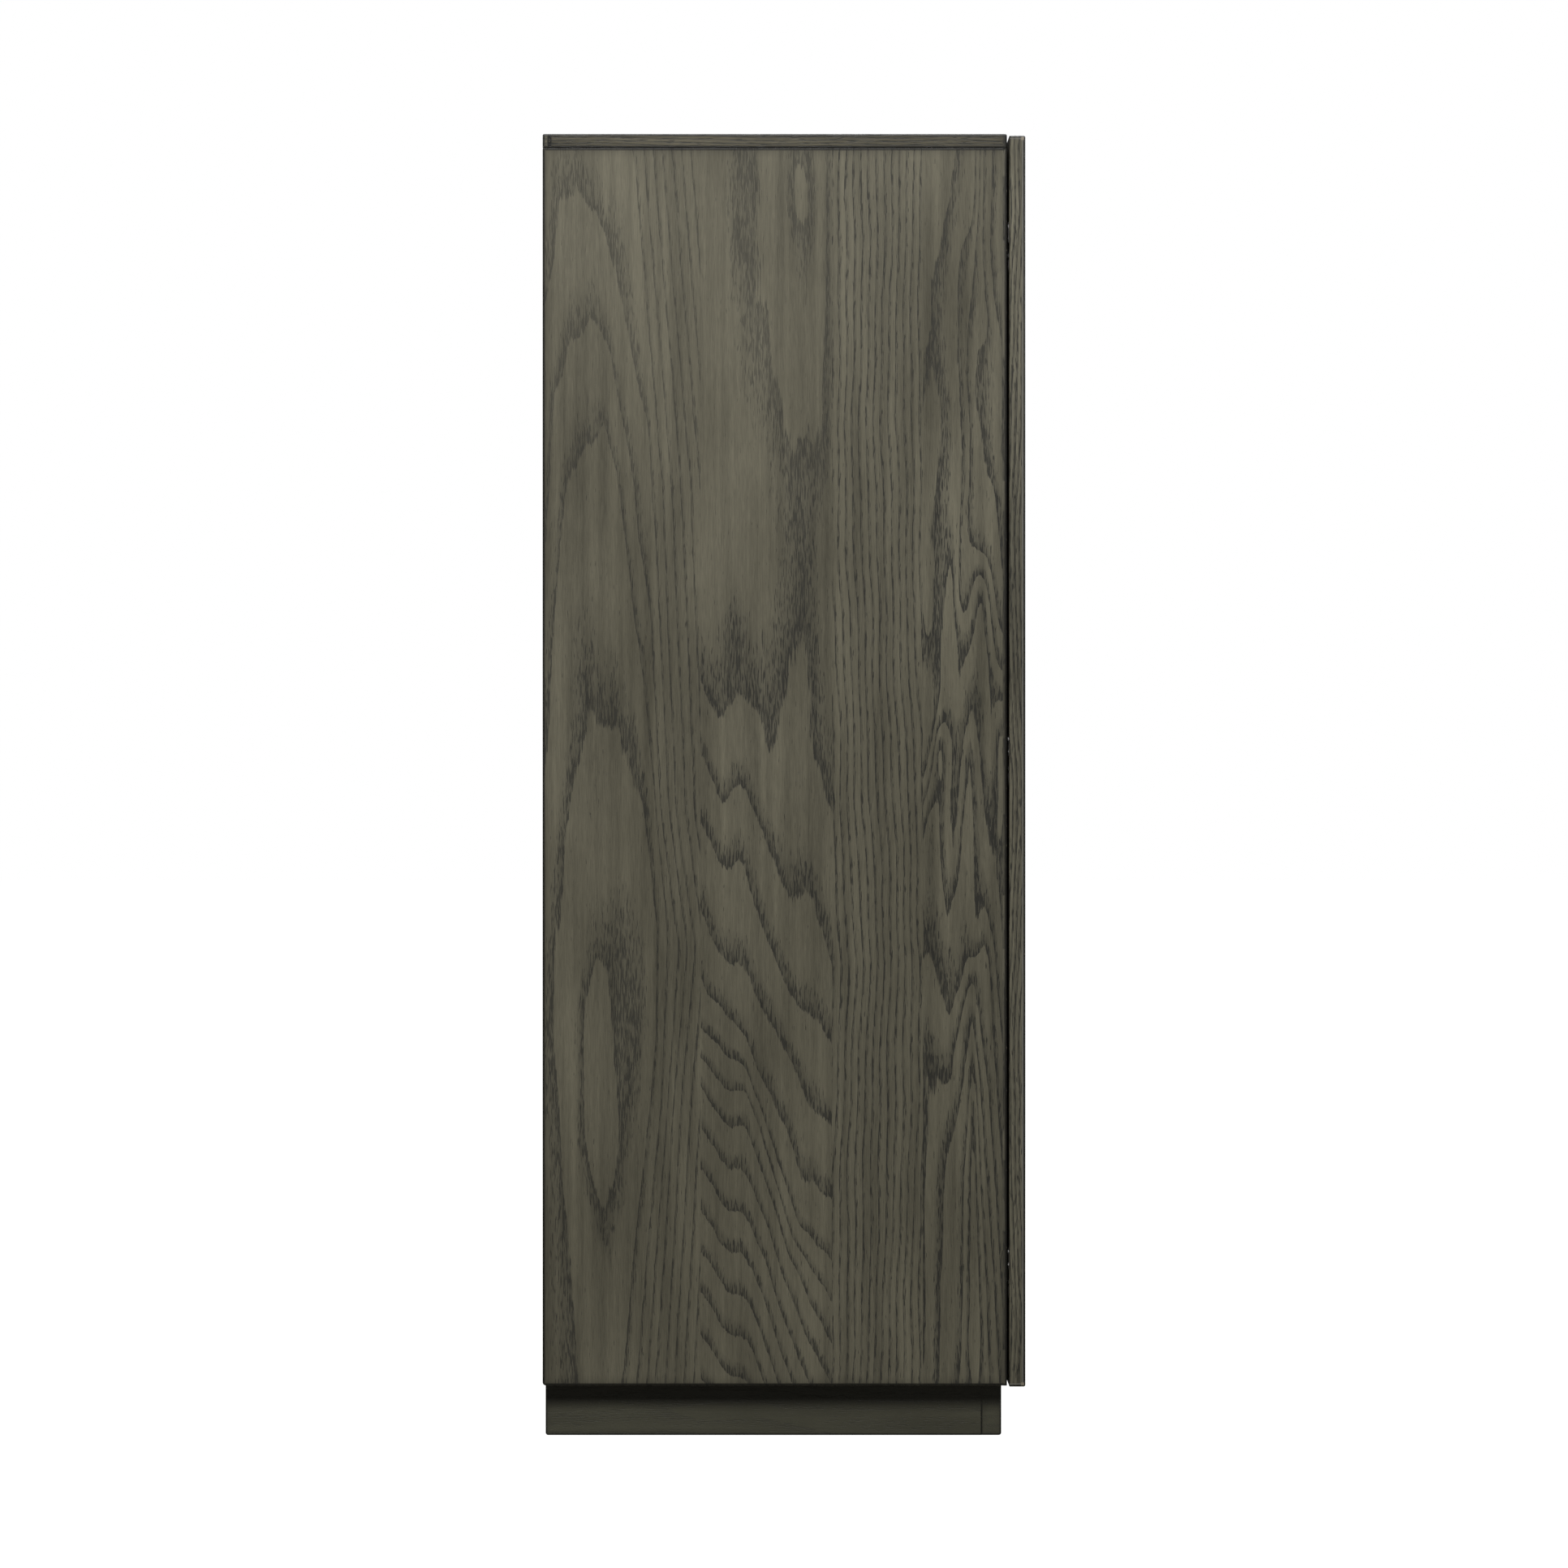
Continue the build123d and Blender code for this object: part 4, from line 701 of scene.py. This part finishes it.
def plateSpline(points, values, stretch, stiff):
    # thin-plate spline: each point adds r squared times log r, on top of a plane
    spots = np.array(points, float) / (1.0, stretch)
    size = len(spots)

    def kernel(first, second):
        squared = ((first[:, None, :] - second[None, :, :]) ** 2).sum(2)
        return squared * np.log(squared + 1e-9) / 1000.0

    matrix = np.zeros((size + 3, size + 3))
    matrix[:size, :size] = kernel(spots, spots) + np.eye(size) * stiff
    matrix[:size, size] = 1.0
    matrix[:size, size + 1:] = spots / 100.0
    matrix[size:, :size] = matrix[:size, size:].T
    weights = np.linalg.solve(matrix, np.concatenate([values, np.zeros(3)]))

    def surface(across, down):
        where = np.stack([across.ravel(), down.ravel() / stretch], 1)
        out = kernel(where, spots) @ weights[:size] + weights[size] + where @ weights[size + 1:] / 100.0
        return out.reshape(across.shape)

    return surface


def drawnLeaf(name):
    # each ring line is divided evenly between its points, and the plate passes close to them all
    points, values = [], []
    for ring, spots in ringLines[name]:
        spots = np.array(spots, float)
        lengths = np.concatenate([[0.0], np.hypot(*np.diff(spots, axis=0).T).cumsum()])
        places = [lengths]
        for start, end in zip(lengths[:-1], lengths[1:]):
            places.append(np.linspace(start, end, int((end - start) / veneer["lineStep"]) + 2)[1:-1])
        places = np.unique(np.concatenate(places))
        points.append(np.stack([np.interp(places, lengths, spots[:, i]) for i in (0, 1)], 1))
        values.append(np.full(len(places), float(ring)))
    return plateSpline(np.concatenate(points), np.concatenate(values), veneer["stretch"], veneer["stiff"])


def riftLeaf(across, down):
    # rings are nearly straight: the distance across, less a slow drift, over the ring's width
    drift = np.interp(down, (0, 300, 500, 950, 1250, 1448), (0, -3, 0, 17, 9, 6))
    sway = 1.5 * np.sin(down / 61.0 + across / 19.0) + 0.8 * np.sin(down / 23.0)
    return (across - drift + sway) / 8.6


leafFigures = {
    "first": drawnLeaf("first"), "second": drawnLeaf("second"),
    "third": riftLeaf, "fourth": drawnLeaf("fourth"),
}
# leaf: tone, how bold its bands and pores are above and below, how much of a ring the band takes
leafTones = {
    "first": (0.42, (0.60, 0.88), 0.38), "second": (0.55, (0.62, 1.02), 0.40),
    "third": (0.72, (0.95, 1.05), 0.45), "fourth": (0.62, (0.85, 1.40), 0.55),
}
boldFrom, boldTo = 250.0, 600.0      # mm below the top between which the boldness changes


def gridLines(low, high, step, extras=()):
    count = max(2, int(round((high - low) / step)) + 1)
    return np.unique(np.round(np.concatenate([np.linspace(low, high, count), extras]), 4))


def leafSheet(low, high, start, width, leaf, side):
    # a sheet on a grid of y and z: the outer face falls back near its upper and lower ends by the
    # rounding's height, and its rear lower corner is drawn in by the corner's rounding; the walls
    # and a flat back close it
    total = (high[2] - low[2]) * 1000.0
    rear = high[1] * 1000.0
    ends = veneer["topRound"], veneer["bottomRound"]
    topRows, footRows = veneer["topRows"], veneer["footRows"]
    downs = gridLines(0.0, total, veneer["cell"][1], [*topRows, *[total - row for row in footRows]])
    downs = downs[(downs > topRows[0] - 0.01) & (downs < total - footRows[0] + 0.01)]
    acrosses = gridLines(start, start + width, veneer["cell"][0])
    across, down = np.meshgrid(acrosses, downs)
    rise = total - down
    fromTop, fromBottom = np.minimum(down, ends[0]), np.minimum(rise, ends[1])
    sink = (ends[0] - np.sqrt(ends[0] ** 2 - (ends[0] - fromTop) ** 2)
            + ends[1] - np.sqrt(ends[1] ** 2 - (ends[1] - fromBottom) ** 2))
    corner = veneer["cornerRound"]
    if start == 0.0:
        drawn = corner - np.sqrt(corner ** 2 - (corner - np.minimum(rise, corner)) ** 2)
        across = across + drawn * (start + width - across) / width
    thick = abs(high[0] - low[0]) * 1000.0
    outer = high[0] if side > 0 else low[0]
    x = outer * 1000.0 - side * np.minimum(sink, thick - 0.02)
    front = np.stack([x, rear - across, high[2] * 1000.0 - down], 2).reshape(-1, 3)
    rows, columns = across.shape
    index = np.arange(rows * columns).reshape(rows, columns)
    quads = np.stack([index[:-1, :-1], index[1:, :-1], index[1:, 1:], index[:-1, 1:]], 2).reshape(-1, 4)
    rim = np.concatenate([index[:-1, 0], index[-1, :-1], index[:0:-1, -1], index[0, :0:-1]])
    back = front[rim].copy()
    back[:, 0] = outer * 1000.0 - side * thick
    backIndex = rows * columns + np.arange(len(rim))
    nextRim, nextBack = np.roll(rim, -1), np.roll(backIndex, -1)
    walls = np.stack([rim, backIndex, nextBack, nextRim], 1)
    figure = leafFigures[leaf](across - start, down)
    ring = np.concatenate([figure.ravel(), figure.ravel()[rim]])
    faces = [tuple(face) for face in np.concatenate([quads, walls]).tolist()] + [tuple(backIndex.tolist())]
    if side > 0:
        faces = [face[::-1] for face in faces]
    tone, bold, fade = leafTones[leaf]
    depths = np.concatenate([down.ravel(), down.ravel()[rim]])
    bolds = np.interp(depths, (boldFrom, boldTo), bold)
    tones = [np.full(len(ring), tone), bolds, np.full(len(ring), fade)]
    return np.concatenate([front, back]) / 1000.0, faces, [ring, *tones]


sideLook = {"glazeWidth": 0.014, "glazeAmount": 0.5, "rub": 0.12}


def veneeredSide(name, side, order):
    low, high = [list(corner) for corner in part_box("side_veneers")]
    thick = veneer["thickness"]
    if side < 0:
        high[0] = low[0] + thick
    else:
        low[0] = high[0] - thick
    sizes = dict(zip(leafFigures, veneer["widths"]))
    total = (high[1] - low[1]) * 1000.0
    ratio = total / sum(sizes.values())
    points, faces, marks, start, offset = [], [], [], 0.0, 0
    for leaf in order:
        width = sizes[leaf] * ratio
        made = leafSheet(low, high, start, width, leaf, side)
        points.append(made[0])
        faces += [tuple(i + offset for i in face) for face in made[1]]
        marks.append(made[2])
        start += width
        offset += len(made[0])
    mesh = bpy.data.meshes.new(name)
    mesh.from_pydata(np.concatenate(points).tolist(), [], faces)
    for label, values in zip(("ring", "tint", "bold", "fade"), zip(*marks)):
        mesh.attributes.new(label, "FLOAT", "POINT").data.foreach_set("value", np.concatenate(values))
    mesh.update()
    piece = bpy.data.objects.new(name, mesh)
    scene.collection.objects.link(piece)
    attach(piece, "case")
    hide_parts("side_veneers")
    # the lipping before the sheet takes the glaze of the front edge
    caseLow = [low[0], low[1] - veneer["lipping"], low[2]]
    mesh.materials.append(woodMaterial(name + "_wood", "z", "y", caseLow, high, sideLook, attribute=True))
    return piece


veneeredSide("left_side_veneer", -1, ("first", "second", "third", "fourth"))
veneeredSide("right_side_veneer", 1, ("third", "first", "fourth", "second"))
print("veneer leaves laid")


studio = {
    "distance": 7.0,              # camera to the side's face
    "frameWidth": 1.8345,         # metres seen across at that face
    "lift": 0.0014,               # camera above the middle of the cabinet
    "skyLight": 0.022, "white": 1.0,
    "floorPaint": (0.15, 0.145, 0.115, 1.0), "floorGlow": 1.0, "reach": 40.0,
}
# light: (place, size, power). Only the key and the low fill stand outside the left side's face.
lamps = {
    "key": ((-3.1, 0.1, 4.3), 1.6, 152.0),
    "lowFill": ((-4.0, -3.0, 1.6), 3.0, 2.0),
    "front": ((0.5, -4.2, 2.6), 2.2, 120.0),
    "right": ((3.8, -0.6, 3.4), 2.2, 120.0),
    "back": ((0.6, 4.4, 2.8), 2.2, 110.0),
}


def areaLight(name, place, target, size, power):
    lamp = bpy.data.lights.new(name, "AREA")
    lamp.shape = "SQUARE"
    lamp.size = size
    lamp.energy = power
    holder = bpy.data.objects.new(name, lamp)
    scene.collection.objects.link(holder)
    holder.location = place
    direction = holder.location.copy()
    direction.x, direction.y, direction.z = [t - p for t, p in zip(target, place)]
    holder.rotation_euler = direction.to_track_quat("-Z", "Y").to_euler()
    return holder


middle = [(a + b) / 2 for a, b in zip(cadLow, cadHigh)]
for lampName, (place, size, power) in lamps.items():
    areaLight(lampName + "Light", place, middle, size, power)

sky = bpy.data.worlds.new("studioSky")
scene.world = sky
sky.use_nodes = True
skyTree = sky.node_tree
skyOut = skyTree.nodes["World Output"]
seen = skyTree.nodes["Background"]
seen.inputs["Color"].default_value = (1.0, 1.0, 1.0, 1.0)
seen.inputs["Strength"].default_value = studio["white"]
lit = addNode(skyTree, "ShaderNodeBackground")
lit.inputs["Color"].default_value = (1.0, 1.0, 1.0, 1.0)
lit.inputs["Strength"].default_value = studio["skyLight"]
choose = addNode(skyTree, "ShaderNodeMixShader")
path = addNode(skyTree, "ShaderNodeLightPath")
feed(skyTree, choose.inputs[0], path.outputs["Is Camera Ray"])
skyTree.links.new(lit.outputs[0], choose.inputs[1])
skyTree.links.new(seen.outputs[0], choose.inputs[2])
skyTree.links.new(choose.outputs[0], skyOut.inputs["Surface"])

floorMesh = bpy.data.meshes.new("floor")
reach = studio["reach"]
floorMesh.from_pydata([(-reach, -reach, 0), (reach, -reach, 0), (reach, reach, 0), (-reach, reach, 0)], [],
                      [(0, 1, 2, 3)])
floor = bpy.data.objects.new("floor", floorMesh)
scene.collection.objects.link(floor)
floorPaint, floorTree, floorShader = startMaterial("palePaper")[:3]
floorShader.inputs["Roughness"].default_value = 0.9
floorShader.inputs["Base Color"].default_value = studio["floorPaint"]
glow = addNode(floorTree, "ShaderNodeLightPath").outputs["Is Camera Ray"]
glow = calc(floorTree, "MULTIPLY", glow, studio["floorGlow"])
feed(floorTree, floorShader.inputs["Emission Strength"], glow)
floorShader.inputs["Emission Color"].default_value = (1.0, 1.0, 1.0, 1.0)
floorMesh.materials.append(floorPaint)

lens = bpy.data.cameras.new("camera")
lens.sensor_width = 36.0
lens.lens = 36.0 * studio["distance"] / studio["frameWidth"]
lens.clip_end = 100.0
camera = bpy.data.objects.new("camera", lens)
scene.collection.objects.link(camera)
camera.location = (cadLow[0] - studio["distance"], middle[1], middle[2] + studio["lift"])
camera.rotation_euler = (math.radians(90), 0, math.radians(-90))
scene.camera = camera
scene.view_settings.view_transform = "Standard"
scene.view_settings.look = "None"
print("studio set")
